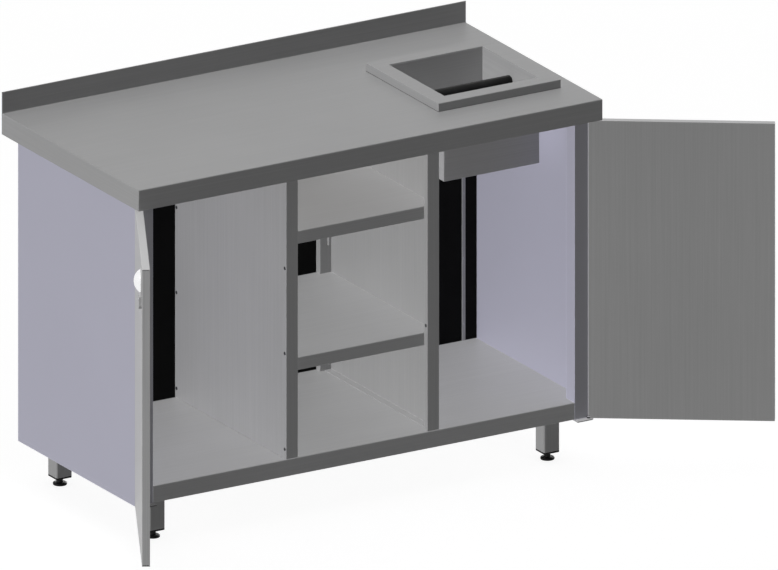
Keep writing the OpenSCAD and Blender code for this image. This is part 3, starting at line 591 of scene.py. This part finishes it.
def solids(node, place=Matrix.Identity(4)):
    """Lowest and highest corner of each separate solid of a node, in a place's own axes."""
    work = bmesh.new()
    work.from_mesh(nodes[node].data)
    bmesh.ops.remove_doubles(work, verts=work.verts, dist=SAME_POINT)
    work.transform(place.inverted())
    waiting = set(work.verts)
    found = []
    while waiting:
        group = {waiting.pop()}
        edge_of_group = list(group)
        while edge_of_group:
            vertex = edge_of_group.pop()
            for edge in vertex.link_edges:
                other = edge.other_vert(vertex)
                if other in waiting:
                    waiting.remove(other)
                    group.add(other)
                    edge_of_group.append(other)
        low, high = span_of([vertex.co for vertex in group])
        for box in [box for box in found if touching(box, (low, high))]:
            found.remove(box)
            low, high = span_of([low, high, *box])
        found.append((low, high))
    work.free()
    return sorted(found, key=lambda corners: tuple(corners[0]))


def local_box(node, place):
    """Lowest and highest corner of a whole node in a place's own axes."""
    return span_of([place.inverted() @ vertex.co for vertex in nodes[node].data.vertices])


def above_middle(low, high, height):
    """The point at a height above the middle of a box."""
    return Vector(((low.x + high.x) / 2, (low.y + high.y) / 2, height))


# Folded sheet. The radii of its bends are given outside and inside

SHEET_BENDS = (1.8 * MM, 0.6 * MM)
WORKTOP_BENDS = (2.4 * MM, 0.9 * MM)
SIDE_BENDS = (0.4 * MM, 0.2 * MM)
OUTER_SKIN_BENDS = (1.5 * MM, 0.5 * MM)
INNER_SKIN_BENDS = (1.2 * MM, 0.4 * MM)
PLATE_BENDS = (0.5 * MM, 0.2 * MM)
TUBE_BENDS = (3.5 * MM, 2.0 * MM)
COLLAR_BENDS = (1.6 * MM, 0.5 * MM)
BIN_BENDS = (2.6 * MM, 1.1 * MM)
THIN = 3.4 * MM
FOLD_STEPS = 3
TUBE_STEPS = 5
TOOL_MARGIN = 0.3 * MM
TOOL_END = 0.05 * MM
ENDWISE = 0.5


def is_thin(face):
    """True for the narrow face along a sheet's rim."""
    around = sum(edge.calc_length() for edge in face.edges)
    return 2 * face.calc_area() / around < THIN


def fold_radius(edge, bend, inner):
    """Radius of a sheet's edge: outside a bend, inside one, or none on a rim."""
    if len(edge.link_faces) != 2 or edge.calc_face_angle(0.0) < CURVE_ANGLE[1]:
        return 0.0
    if any(is_thin(face) or is_curved(face) for face in edge.link_faces):
        return 0.0
    return bend if edge.is_convex else inner


def bend_tool(edge, radius, steps):
    """Ring of points at each end of the prism that rounds one edge of a sheet."""
    first, second = (face.normal for face in edge.link_faces)
    start, end = (vertex.co for vertex in edge.verts)
    along = (end - start).normalized()
    out = 1 if edge.is_convex else -1
    turn = first.angle(second)
    inward = first.cross(along)
    inward *= -out if inward.dot(second) > 0 else out
    centre = inward * radius * math.tan(turn / 2) - first * radius * out
    axis = first.cross(second).normalized()
    arc = [centre + Matrix.Rotation(turn * k / steps, 3, axis) @ first * radius * out
           for k in range(steps + 1)]
    margin = TOOL_MARGIN * out
    ring = [(first + second) * margin, arc[0] + first * margin] + arc + [arc[-1] + second * margin]
    ends = []
    for vertex, away in zip(edge.verts, (-along, along)):
        facing = [face.normal.dot(away) for face in vertex.link_faces
                  if face not in edge.link_faces]
        meets_wall = any(value < -ENDWISE for value in facing)
        meets_air = any(value > ENDWISE for value in facing) and not meets_wall
        reach = 0.0
        if meets_air:
            reach = TOOL_MARGIN if out > 0 else -TOOL_END
        elif meets_wall and out < 0:
            reach = TOOL_MARGIN
        ends.append(vertex.co + away * reach)
    return [[point + corner for corner in ring] for point in ends]


def add_tools(piece, tools, operation):
    """Boolean modifiers that cut or add prisms. Prisms that touch go into different modifiers."""
    groups = []
    for rings in tools:
        box = span_of(rings[0] + rings[1])
        free = [group for group in groups if not any(touching(box, other) for other, _ in group)]
        if not free:
            groups.append([])
        (free or groups[-1:])[0].append((box, rings))
    made = []
    for group in groups:
        work = bmesh.new()
        for _, rings in group:
            caps = [work.faces.new([work.verts.new(point) for point in ring]) for ring in rings]
            bmesh.ops.bridge_loops(work, edges=[edge for cap in caps for edge in cap.edges])
        bmesh.ops.recalc_face_normals(work, faces=work.faces)
        for face in work.faces:
            face.material_index = 1
        mesh = bpy.data.meshes.new("bend_tool")
        work.to_mesh(mesh)
        work.free()
        for _ in range(2):
            mesh.materials.append(piece.data.materials[0])
        tool = bpy.data.objects.new("bend_tool", mesh)
        bpy.context.scene.collection.objects.link(tool)
        bends = piece.modifiers.new("bends", "BOOLEAN")
        bends.operation = operation
        bends.solver = "MANIFOLD"
        bends.object = tool
        made.append(tool)
    return made


def folded(node, bends=SHEET_BENDS, steps=FOLD_STEPS, grooves=()):
    """A sheet with round bends, standing for the CAD node."""
    work = flat_faces(node)
    tools = {"UNION": [], "DIFFERENCE": list(grooves)}
    for edge in work.edges:
        radius = fold_radius(edge, *bends)
        if radius:
            operation = "DIFFERENCE" if edge.is_convex else "UNION"
            tools[operation].append(bend_tool(edge, radius, steps))
    bmesh.ops.triangulate(work, faces=work.faces)
    piece = new_piece(node + "_formed", work, node, (node,))
    piece.data.materials.append(piece.data.materials[0])
    made = [tool for operation, rings in tools.items()
            for tool in add_tools(piece, rings, operation)]
    apply_modifiers(piece)
    for tool in made:
        bpy.data.meshes.remove(tool.data)
    keep_flats_flat(piece)


# Turned and lofted pieces

THREAD_ROWS = 4
BEAD_SIDES = 8
DOMED_SHARE = 0.8
ALMOST_ROUND = 0.999


def loft(work, rings, closed=False):
    """Joins rings of points of the same length, or single points, with faces."""
    made = [[work.verts.new(point) for point in ring] for ring in rings]
    pairs = list(zip(made, made[1:])) + ([(made[-1], made[0])] if closed else [])
    count = max(len(ring) for ring in made)
    for low, high in pairs:
        for i in range(count):
            j = (i + 1) % count
            corners = [low[i % len(low)], low[j % len(low)],
                       high[j % len(high)], high[i % len(high)]]
            work.faces.new(list(dict.fromkeys(corners)))
    return made


def turned(work, profile, place, steps=32, closed=False, turn=0.0):
    """Spins (radius, height) points about a place's Z axis. A radius of 0 closes the end."""
    rings = []
    for radius, height in profile:
        angles = [turn + 2 * math.pi * i / steps for i in range(steps if radius else 1)]
        rings.append([place @ Vector((radius * math.cos(a), radius * math.sin(a), height))
                      for a in angles])
    loft(work, rings, closed)


def aimed(point, axis):
    """A place at a point, with its Z along an axis."""
    return Matrix.Translation(point) @ Vector(axis).to_track_quat("Z", "Y").to_matrix().to_4x4()


def dome_profile(radius, height, steps=5):
    """Profile of a domed head: its top lies at height 0, its rim at the given height."""
    angles = [math.pi / 2 * i / steps for i in range(steps + 1)]
    return [(radius * math.sin(a), height * (1 - math.cos(a))) for a in angles]


def flipped(profile, length):
    """The same profile seen from the other end of a piece of that length."""
    return [(radius, length - height) for radius, height in reversed(profile)]


def screw_thread(work, radius, depth, pitch, span, place, steps=20):
    """A threaded rod with coned ends, closed at both."""
    start, end = span
    count = round((end - start) / pitch * THREAD_ROWS)
    rings = [[place @ Vector((0, 0, start))]]
    for k in range(count + 1):
        height = start + (end - start) * k / count
        taper = min(1.0, 0.4 + 0.6 * min(height - start, end - height) / pitch)
        ring = []
        for i in range(steps):
            angle = 2 * math.pi * i / steps
            phase = (height / pitch - i / steps) % 1.0
            crest = abs(2 * phase - 1)
            r = radius * (1 - (1 - taper) * 0.3) - depth * crest
            ring.append(place @ Vector((r * math.cos(angle), r * math.sin(angle), height)))
        rings.append(ring)
    rings.append([place @ Vector((0, 0, end))])
    loft(work, rings)


def square_ring(half, corner, height, centre, steps=6):
    """Points of a square outline with round corners, at a height over a centre."""
    ring = []
    for quarter in range(4):
        middle = math.pi / 4 + quarter * math.pi / 2
        inset = half - corner
        cx = math.copysign(inset, math.cos(middle))
        cy = math.copysign(inset, math.sin(middle))
        for i in range(steps + 1):
            angle = quarter * math.pi / 2 + math.pi / 2 * i / steps
            x, y = cx + corner * math.cos(angle), cy + corner * math.sin(angle)
            ring.append(centre + Vector((x, y, height)))
    return ring


def bead(work, path, radius, closed=False, ripple=0.16):
    """A weld bead or a plain strand along a path of points. The ripple needs them evenly spaced."""
    rings = []
    for k, point in enumerate(path):
        after = path[(k + 1) % len(path)] if closed or k + 1 < len(path) else None
        before = path[k - 1] if closed or k else None
        along = ((after or point) - (before or point)).normalized()
        place = aimed(point, along)
        swell = radius * (1.0 + ripple * math.sin(k * math.pi / 2))
        rings.append([place @ Vector((swell * math.cos(a), swell * math.sin(a), 0))
                      for a in (2 * math.pi * i / BEAD_SIDES for i in range(BEAD_SIDES))])
    if not closed:
        rings = [[path[0]]] + rings + [[path[-1]]]
    loft(work, rings, closed)


def round_path(corners, step):
    """Points along a closed outline, about a step apart."""
    path = []
    for start, end in zip(corners, corners[1:] + corners[:1]):
        count = max(1, round((end - start).length / step))
        path += [start.lerp(end, k / count) for k in range(count)]
    return path


def evenly(start, end, step):
    """Points from start to end, about a step apart."""
    count = max(2, round((end - start).length / step))
    return [start.lerp(end, k / count) for k in range(count + 1)]


# Fasteners

RIVET_HEAD_T = 1.5 * MM
BACK_RIVET_HEAD_T = 0.75 * MM
RIVET_SHANK = 0.6
BOLT_HEAD_H = 3.0 * MM
BOLT_R = 3.0 * MM
BOLT_PITCH = 1.0 * MM
BOLT_THREAD = 0.35 * MM
SCREW_HEAD_T = 1.5 * MM
SCREW_R = 2.0 * MM
SCREW_PITCH = 1.5 * MM
SCREW_THREAD = 0.4 * MM
GRIP_SCREW_HEAD_T = 1.5 * MM
SCREW_TIP = 1.0 * MM
PIN_CONE = 0.4 * MM


def across(low, high, axis):
    """Centre of a fastener at its low end, and its largest radius."""
    others = [k for k in range(3) if k != axis]
    start = (low + high) / 2
    start[axis] = low[axis]
    return start, max(high[k] - low[k] for k in others) / 2


def rivets(node, axis, head_t):
    """Domed rivets in place of a node's plain ones, set along an axis."""
    work = bmesh.new()
    direction = [1.0 if k == axis else 0.0 for k in range(3)]
    for low, high in solids(node):
        start, head_r = across(low, high, axis)
        length = high[axis] - low[axis]
        head = dome_profile(head_r, head_t * DOMED_SHARE)
        head += [(head_r, head_t), (head_r * RIVET_SHANK, head_t)]
        turned(work, head + flipped(head, length), aimed(start, direction), steps=24)
    new_piece(node + "_domed", work, node, (node,))


def leg_bolts():
    """Hexagon bolts with chamfered heads and threaded shanks."""
    work = bmesh.new()
    for low, high in solids("leg_bolts"):
        start, head_r = across(low, high, 2)
        place = Matrix.Translation(start)
        head = [(0, 0.3 * MM), (head_r * 0.70, 0.3 * MM), (head_r * 0.74, 0), (head_r * 0.86, 0),
                (head_r, 0.7 * MM), (head_r, BOLT_HEAD_H), (0, BOLT_HEAD_H)]
        turned(work, head, place, steps=6, turn=math.pi / 6)
        span = (BOLT_HEAD_H, high.z - low.z)
        screw_thread(work, BOLT_R, BOLT_THREAD, BOLT_PITCH, span, place, steps=12)
    new_piece("leg_hex_bolts", work, "leg_bolts", ("leg_bolts",))


def worktop_screws():
    """Pan-head screws with a round recess, driven up into the board."""
    work = bmesh.new()
    for low, high in solids("worktop_screws"):
        start, head_r = across(low, high, 2)
        place = Matrix.Translation(start)
        recess = 0.32 * head_r
        head = [(0, 0.8 * MM), (recess, 0.8 * MM), (recess * 1.1, 0.06 * MM)]
        head += [point for point in dome_profile(head_r, SCREW_HEAD_T) if point[0] > recess * 1.3]
        turned(work, head + [(0, SCREW_HEAD_T)], place, steps=28)
        span = (SCREW_HEAD_T, high.z - low.z)
        screw_thread(work, SCREW_R, SCREW_THREAD, SCREW_PITCH, span, place, steps=12)
    new_piece("worktop_pan_screws", work, "worktop_screws", ("worktop_screws",))


# Legs and feet

TUBE_CORNER = TUBE_BENDS[0]
PAD_BORE = 5.05 * MM
PAD_SEAT = 3.5 * MM
NECK_R = 7.0 * MM
PAD_H = 7.0 * MM
THREAD_DEPTH = 0.75 * MM
THREAD_PITCH = 1.5 * MM
PLUG_BAND = 4.5 * MM
PLUG_SPIGOT_HALF = 18.3 * MM
LEG_TOP_PLATE_T = 3.0 * MM
WELD_R = 1.7 * MM
WELD_STEP = 1.3 * MM
WELD_OUT = 0.3 * MM
WELD_DROP = 0.4 * MM


def foot_pad(corner):
    """Round pad with a rolled edge, a raised ring, and fillets up to its neck."""
    node = corner + "_foot_pad"
    low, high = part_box(node)
    radius = (high.x - low.x) / 2
    top = high.z
    profile = [
        (0, 0), (radius - 1.6 * MM, 0), (radius - 0.5 * MM, 0.4 * MM), (radius, 1.2 * MM),
        (radius, PAD_H - 2.8 * MM), (radius - 0.4 * MM, PAD_H - 2.1 * MM),
        (radius - 1.3 * MM, PAD_H - 1.6 * MM), (radius - 3.2 * MM, PAD_H - 0.7 * MM),
        (NECK_R + 4.0 * MM, PAD_H - 0.3 * MM), (NECK_R + 3.4 * MM, PAD_H - 0.6 * MM),
        (NECK_R + 2.6 * MM, PAD_H - 0.5 * MM), (NECK_R + 1.0 * MM, PAD_H + 0.1 * MM),
        (NECK_R + 0.2 * MM, PAD_H + 1.0 * MM), (NECK_R - 0.3 * MM, PAD_H + 2.2 * MM),
        (NECK_R - 0.3 * MM, top - 1.0 * MM), (NECK_R - 0.8 * MM, top), (PAD_BORE + 0.4 * MM, top),
        (PAD_BORE, top - 0.5 * MM), (PAD_BORE, PAD_SEAT), (0, PAD_SEAT),
    ]
    work = bmesh.new()
    turned(work, profile, Matrix.Translation(above_middle(low, high, low.z)), steps=56)
    new_piece(node + "_moulded", work, node, (node,))


def spindle(corner):
    """Threaded spindle of a levelling foot."""
    node = corner + "_spindle"
    low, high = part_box(node)
    work = bmesh.new()
    place = Matrix.Translation(above_middle(low, high, 0))
    screw_thread(work, (high.x - low.x) / 2, THREAD_DEPTH, THREAD_PITCH, (low.z, high.z), place)
    new_piece(node + "_threaded", work, node, (node,))


def leg_plugs():
    """Tube plugs: a band as wide as the tube with soft edges, a spigot inside, and a round bore."""
    work = bmesh.new()
    for low, high in solids("leg_plugs"):
        centre = above_middle(low, high, low.z)
        half = (high.x - low.x) / 2
        top = high.z - low.z
        levels = [(half - 0.8 * MM, 0.0), (half - 0.2 * MM, 0.3 * MM), (half, 0.9 * MM),
                  (half, PLUG_BAND - 0.2 * MM), (half - 0.2 * MM, PLUG_BAND),
                  (PLUG_SPIGOT_HALF, PLUG_BAND), (PLUG_SPIGOT_HALF, top - 1.5 * MM),
                  (PLUG_SPIGOT_HALF - 0.8 * MM, top)]
        rings = [square_ring(wide, TUBE_CORNER, height, centre) for wide, height in levels]
        bores = [(PAD_BORE, top), (PAD_BORE, 0.6 * MM), (PAD_BORE + 0.6 * MM, 0.0)]
        rings += [square_ring(r, r * ALMOST_ROUND, height, centre) for r, height in bores]
        loft(work, rings, closed=True)
    new_piece("leg_plugs_moulded", work, "leg_plugs", ("leg_plugs",))


def leg_welds():
    """A weld bead round the top of each leg's tube, under its plate."""
    work = bmesh.new()
    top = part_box("front_left_leg")[1].z - LEG_TOP_PLATE_T
    for low, high in solids("leg_plugs"):
        centre = above_middle(low, high, 0)
        half = (high.x - low.x) / 2 + WELD_OUT
        corners = square_ring(half, TUBE_CORNER, top - WELD_DROP, centre, 3)
        bead(work, round_path(corners, WELD_STEP), WELD_R, closed=True)
    new_piece("leg_weld_beads", work, "front_left_leg")


# Doors and grips

SEAM_IN = 3.2 * MM
SEAM_H = 2.0 * MM
SEAM_DEPTH = 0.6 * MM
SEAM_OUT = 0.3 * MM
SEAM_R = 0.9 * MM
SEAM_SUNK = 0.3
GRIP_WALL = 2.0 * MM
GRIP_PLATE_T = 2.0 * MM
GRIP_GAP = 0.2 * MM
GRIP_CORNER = 9.5 * MM
GRIP_SOFT = 0.6 * MM
GRIP_SOFT_STEPS = 4
DOME_MOUTH = 10.0 * MM
DOME_RINGS = 14
DOME_STEPS = 72
DOME_RIM = 0.6 * MM
DOME_RIM_ANGLE = math.radians(50)


def door_place(side):
    """Axes of a door as it hangs at rest: X from the pivot to the free edge, Y through it, Z up."""
    hinge = joints[side + "_door_hinge"]
    open_angle = math.radians(max(abs(limit) for limit in hinge["range_deg"]))
    turned_open = Matrix.Rotation(-open_angle, 4, "Z")
    mirrored = Matrix.Diagonal((-1, 1, 1, 1)) if side == "right" else Matrix.Identity(4)
    return Matrix.Translation(hinge["pos_m"]) @ mirrored @ turned_open


def seam_spans(side):
    """Start and end of the seams across a door's free edge, near its top and its foot."""
    place = door_place(side)
    low, high = local_box(side + "_door_outer_skin", place)
    return [(place, Vector((high.x, low.y, z)), Vector((high.x, high.y, z)))
            for z in (low.z + SEAM_IN, high.z - SEAM_IN)]


def seam_grooves(side):
    """Prisms that cut the seams into a door's skin."""
    grooves = []
    for place, start, end in seam_spans(side):
        section = [(-SEAM_DEPTH, -SEAM_H / 2), (-SEAM_DEPTH, SEAM_H / 2), (SEAM_OUT, SEAM_H / 2),
                   (SEAM_OUT, -SEAM_H / 2)]
        margin = Vector((0, SEAM_OUT, 0))
        grooves.append([[place @ (point + Vector((x, 0, z))) for x, z in section]
                        for point in (start - margin, end + margin)])
    return grooves


def door_seam_shadows(side):
    """Black beads in the seams across a door's free edge: a painted shadow in the seam."""
    work = bmesh.new()
    inset = Vector((-SEAM_DEPTH - SEAM_R * SEAM_SUNK, 0, 0))
    trim = Vector((0, SEAM_R, 0))
    for place, start, end in seam_spans(side):
        points = evenly(start + inset + trim, end + inset - trim, WELD_STEP)
        bead(work, [place @ point for point in points], SEAM_R)
    new_piece(side + "_door_seam_shadows", work, side + "_door_outer_skin",
              material=finishes["rubber"])


def grip_dome(side):
    """Thin-walled dome, open towards the hinge, with a rolled rim."""
    node = side + "_grip_dome"
    place = door_place(side)
    low, high = local_box(node, place)
    radius = (high.z - low.z) / 2
    rise = high.y - low.y
    ball = (radius * radius + rise * rise) / (2 * rise)
    centre = Vector((low.x + DOME_MOUTH, high.y, (low.z + high.z) / 2))
    work = bmesh.new()
    rings = [[place @ (centre + Vector((0, -rise, 0)))]]
    for k in range(1, DOME_RINGS + 1):
        ring = []
        for i in range(DOME_STEPS):
            angle = 2 * math.pi * i / DOME_STEPS
            reach = radius
            if math.cos(angle) < 0:
                reach = min(radius, DOME_MOUTH / -math.cos(angle))
            r = reach * math.sin(math.pi / 2 * k / DOME_RINGS)
            depth = math.sqrt(ball * ball - r * r) - (ball - rise)
            point = centre + Vector((r * math.cos(angle), -max(depth, 0.0), r * math.sin(angle)))
            ring.append(place @ point)
        rings.append(ring)
    loft(work, rings)
    piece = new_piece(node + "_shell", work, node, (node,))
    middle = place @ (centre + Vector((0, ball - rise, 0)))
    first = piece.data.polygons[0]
    if (first.center - middle).dot(first.normal) < 0:
        piece.data.flip_normals()
    wall = piece.modifiers.new("wall", "SOLIDIFY")
    wall.thickness = GRIP_WALL
    wall.offset = -1
    wall.use_even_offset = True
    rim = piece.modifiers.new("rim", "BEVEL")
    rim.limit_method = "ANGLE"
    rim.angle_limit = DOME_RIM_ANGLE
    rim.width = DOME_RIM
    rim.segments = 3
    apply_modifiers(piece)


def soft_slab(work, place, outline, back, front):
    """A slab between two depths along a place's Y. The outline depends on the soft edge's inset."""
    levels = [(0.0, back)]
    for k in range(GRIP_SOFT_STEPS + 1):
        angle = math.pi / 2 * k / GRIP_SOFT_STEPS
        levels.append((GRIP_SOFT * (1 - math.cos(angle)),
                       front + GRIP_SOFT * (1 - math.sin(angle))))
    rings = [[place @ Vector((x, y, z)) for x, z in outline(inset)] for inset, y in levels]
    made = loft(work, rings)
    work.faces.new(made[0])
    work.faces.new(made[-1])


def arc_points(centre, radius, start, turn, steps=12):
    """Points of an arc in the plane of a door's face. Angles are quarter turns."""
    angles = [math.pi / 2 * (start + turn * k / steps) for k in range(steps + 1)]
    return [(centre[0] + radius * math.cos(a), centre[1] + radius * math.sin(a)) for a in angles]


def grip_plate(side):
    """Plate of a grip with a round top, and the thicker block over its foot. Edges are soft."""
    node = side + "_grip_plate"
    place = door_place(side)
    low, high = local_box(node, place)
    half = (high.x - low.x) / 2
    x = (low.x + high.x) / 2
    z_dome = high.z - half
    z_block = z_dome - half - GRIP_GAP

    def plate_outline(inset):
        """Half a disc with straight sides down into the block."""
        arc = arc_points((x, z_dome), half - inset, 0, 2, 28)
        foot = z_block - GRIP_CORNER / 2
        return [(arc[0][0], foot)] + arc + [(arc[-1][0], foot)]

    def block_outline(inset):
        """A rectangle with two round corners at its foot."""
        corner = GRIP_CORNER - inset
        reach = half - GRIP_CORNER
        right = arc_points((x + reach, low.z + GRIP_CORNER), corner, 0, -1)
        left = arc_points((x - reach, low.z + GRIP_CORNER), corner, -1, -1)
        return [(right[0][0], z_block - inset)] + right + left + [(left[-1][0], z_block - inset)]

    work = bmesh.new()
    soft_slab(work, place, plate_outline, high.y, high.y - GRIP_PLATE_T)
    soft_slab(work, place, block_outline, high.y, low.y)
    piece = new_piece(node + "_moulded", work, node, (node,))
    weighted = piece.modifiers.new("weighted", "WEIGHTED_NORMAL")
    weighted.keep_sharp = True
    apply_modifiers(piece)


def grip_screws(side):
    """Domed screws with a round recess."""
    node = side + "_grip_screws"
    place = door_place(side)
    work = bmesh.new()
    for low, high in solids(node, place):
        start, head_r = across(low, high, 1)
        spot = place @ Matrix.Translation(start) @ Matrix.Rotation(-math.pi / 2, 4, "X")
        recess = 0.36 * head_r
        head = [(0, 0.9 * MM), (recess, 0.9 * MM), (recess * 1.08, 0.05 * MM)]
        head += [point for point in dome_profile(head_r, GRIP_SCREW_HEAD_T, 7)
                 if point[0] > recess * 1.2]
        length = high.y - low.y
        shank = [(SCREW_R, GRIP_SCREW_HEAD_T), (SCREW_R, length - SCREW_TIP), (0, length)]
        turned(work, head + shank, spot, steps=28)
    new_piece(node + "_domed", work, node, (node,))


def pivot_pins(side):
    """Pivot pins with coned ends."""
    node = side + "_pivot_pins"
    work = bmesh.new()
    for low, high in solids(node):
        start, radius = across(low, high, 2)
        length = high.z - low.z
        end = [(0, 0), (radius - PIN_CONE, 0), (radius, PIN_CONE)]
        turned(work, end + flipped(end, length), Matrix.Translation(start), steps=28)
    new_piece(node + "_turned", work, node, (node,))


# Knock box

SEAL_R = 0.6 * MM
SEAL_CORNER = 1.6 * MM
SEAL_STEP = 4 * WELD_STEP
SLEEVE_END_R = 4.5 * MM
ROD_R = 6.0 * MM
ROD_HEAD_T = 2.0 * MM


def collar_seal():
    """A thin rubber seal round the foot of the collar."""
    low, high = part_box("knock_collar")
    centre = above_middle(low, high, low.z + SEAL_R * 1.2)
    corners = square_ring((high.x - low.x) / 2, SEAL_CORNER, 0, centre, 3)
    work = bmesh.new()
    bead(work, round_path(corners, SEAL_STEP), SEAL_R, closed=True, ripple=0.0)
    new_piece("knock_collar_seal", work, "knock_collar", material=finishes["sealant"])


def lying(node):
    """Place at the left end of a round piece with Z along it, its largest radius, its length."""
    low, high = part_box(node)
    start = Vector((low.x, (low.y + high.y) / 2, (low.z + high.z) / 2))
    return aimed(start, (1, 0, 0)), (high.z - low.z) / 2, high.x - low.x


def knock_bar():
    """Rod with domed heads, and a rubber sleeve with round ends."""
    place, radius, length = lying("knock_bar_sleeve")
    arc = [math.pi / 2 * k / 6 for k in range(7)]
    end = [(ROD_R, 0)]
    end += [(radius - SLEEVE_END_R * (1 - math.sin(a)), SLEEVE_END_R * (1 - math.cos(a)))
            for a in arc]
    work = bmesh.new()
    turned(work, end + flipped(end, length), place, steps=48, closed=True)
    new_piece("knock_bar_sleeve_rounded", work, "knock_bar_sleeve", ("knock_bar_sleeve",))
    place, head_r, length = lying("knock_bar_rod")
    head = dome_profile(head_r, ROD_HEAD_T * DOMED_SHARE)
    head += [(head_r, ROD_HEAD_T), (ROD_R, ROD_HEAD_T)]
    work = bmesh.new()
    turned(work, head + flipped(head, length), place, steps=36)
    new_piece("knock_bar_rod_turned", work, "knock_bar_rod", ("knock_bar_rod",))


# Clips on the rear posts. The photograph shows one of them

CLIP_UP = 295 * MM
CLIP_H = 34 * MM
CLIP_OUT = 6.5 * MM
CLIP_T = 1.6 * MM
CLIP_IN = 9.0 * MM
CLIP_CUT_Y = 1.5 * MM
CLIP_CUT_Z = 2.5 * MM


def post_clips():
    """An upright tab on the front of each rear post, near the divider."""
    work = bmesh.new()
    floor_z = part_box("floor_panel")[1].z
    for side, outward in (("left", -1), ("right", 1)):
        low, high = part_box(side + "_rear_post")
        x = (high.x if outward > 0 else low.x) - outward * CLIP_IN
        xs = (x - outward * CLIP_T, x)
        z = floor_z + CLIP_UP
        outline = [(0, 0), (-CLIP_OUT + CLIP_CUT_Y, 0), (-CLIP_OUT, CLIP_CUT_Z),
                   (-CLIP_OUT, CLIP_H - CLIP_CUT_Z), (-CLIP_OUT + CLIP_CUT_Y, CLIP_H), (0, CLIP_H)]
        rings = [[Vector((x_face, low.y + y, z + up)) for y, up in outline] for x_face in xs]
        caps = [[sum(ring, Vector()) / len(ring)] for ring in rings]
        loft(work, [caps[0]] + rings + [caps[1]])
    new_piece("rear_post_clips", work, "right_rear_post")


# Assembly

add_camera()
add_world()
add_floor()
add_sun("key", KEY_TOWARDS, KEY_STRENGTH)
add_sun("fill", FILL_TOWARDS, FILL_STRENGTH)
add_sun("soft", SOFT_TOWARDS, SOFT_STRENGTH, SOFT_ANGLE)
bpy.context.scene.view_settings.view_transform = "Standard"

for name, node in nodes.items():
    node.data.materials.clear()
    node.data.materials.append(finish_of(name))

folded("worktop", WORKTOP_BENDS)
for sheet in ("floor_panel", "floor_channels", "upper_shelf", "lower_shelf", "shelf_angles",
              "back_strips"):
    folded(sheet)
for side in SIDES:
    folded(side + "_side_panel", SIDE_BENDS)
    folded(side + "_divider")
    folded(side + "_rear_post")
    folded(side + "_door_outer_skin", OUTER_SKIN_BENDS, grooves=seam_grooves(side))
    door_seam_shadows(side)
    folded(side + "_door_inner_skin", INNER_SKIN_BENDS)
    folded(side + "_pivot_plates", PLATE_BENDS)
    grip_plate(side)
    grip_dome(side)
    grip_screws(side)
    pivot_pins(side)
for corner in CORNERS:
    folded(corner + "_leg", TUBE_BENDS, TUBE_STEPS)
    foot_pad(corner)
    spindle(corner)
leg_plugs()
leg_welds()
leg_bolts()
worktop_screws()
rivets("divider_rivets", 0, RIVET_HEAD_T)
rivets("back_rivets", 1, BACK_RIVET_HEAD_T)
folded("knock_collar", COLLAR_BENDS)
folded("knock_bin", BIN_BENDS)
collar_seal()
knock_bar()
post_clips()
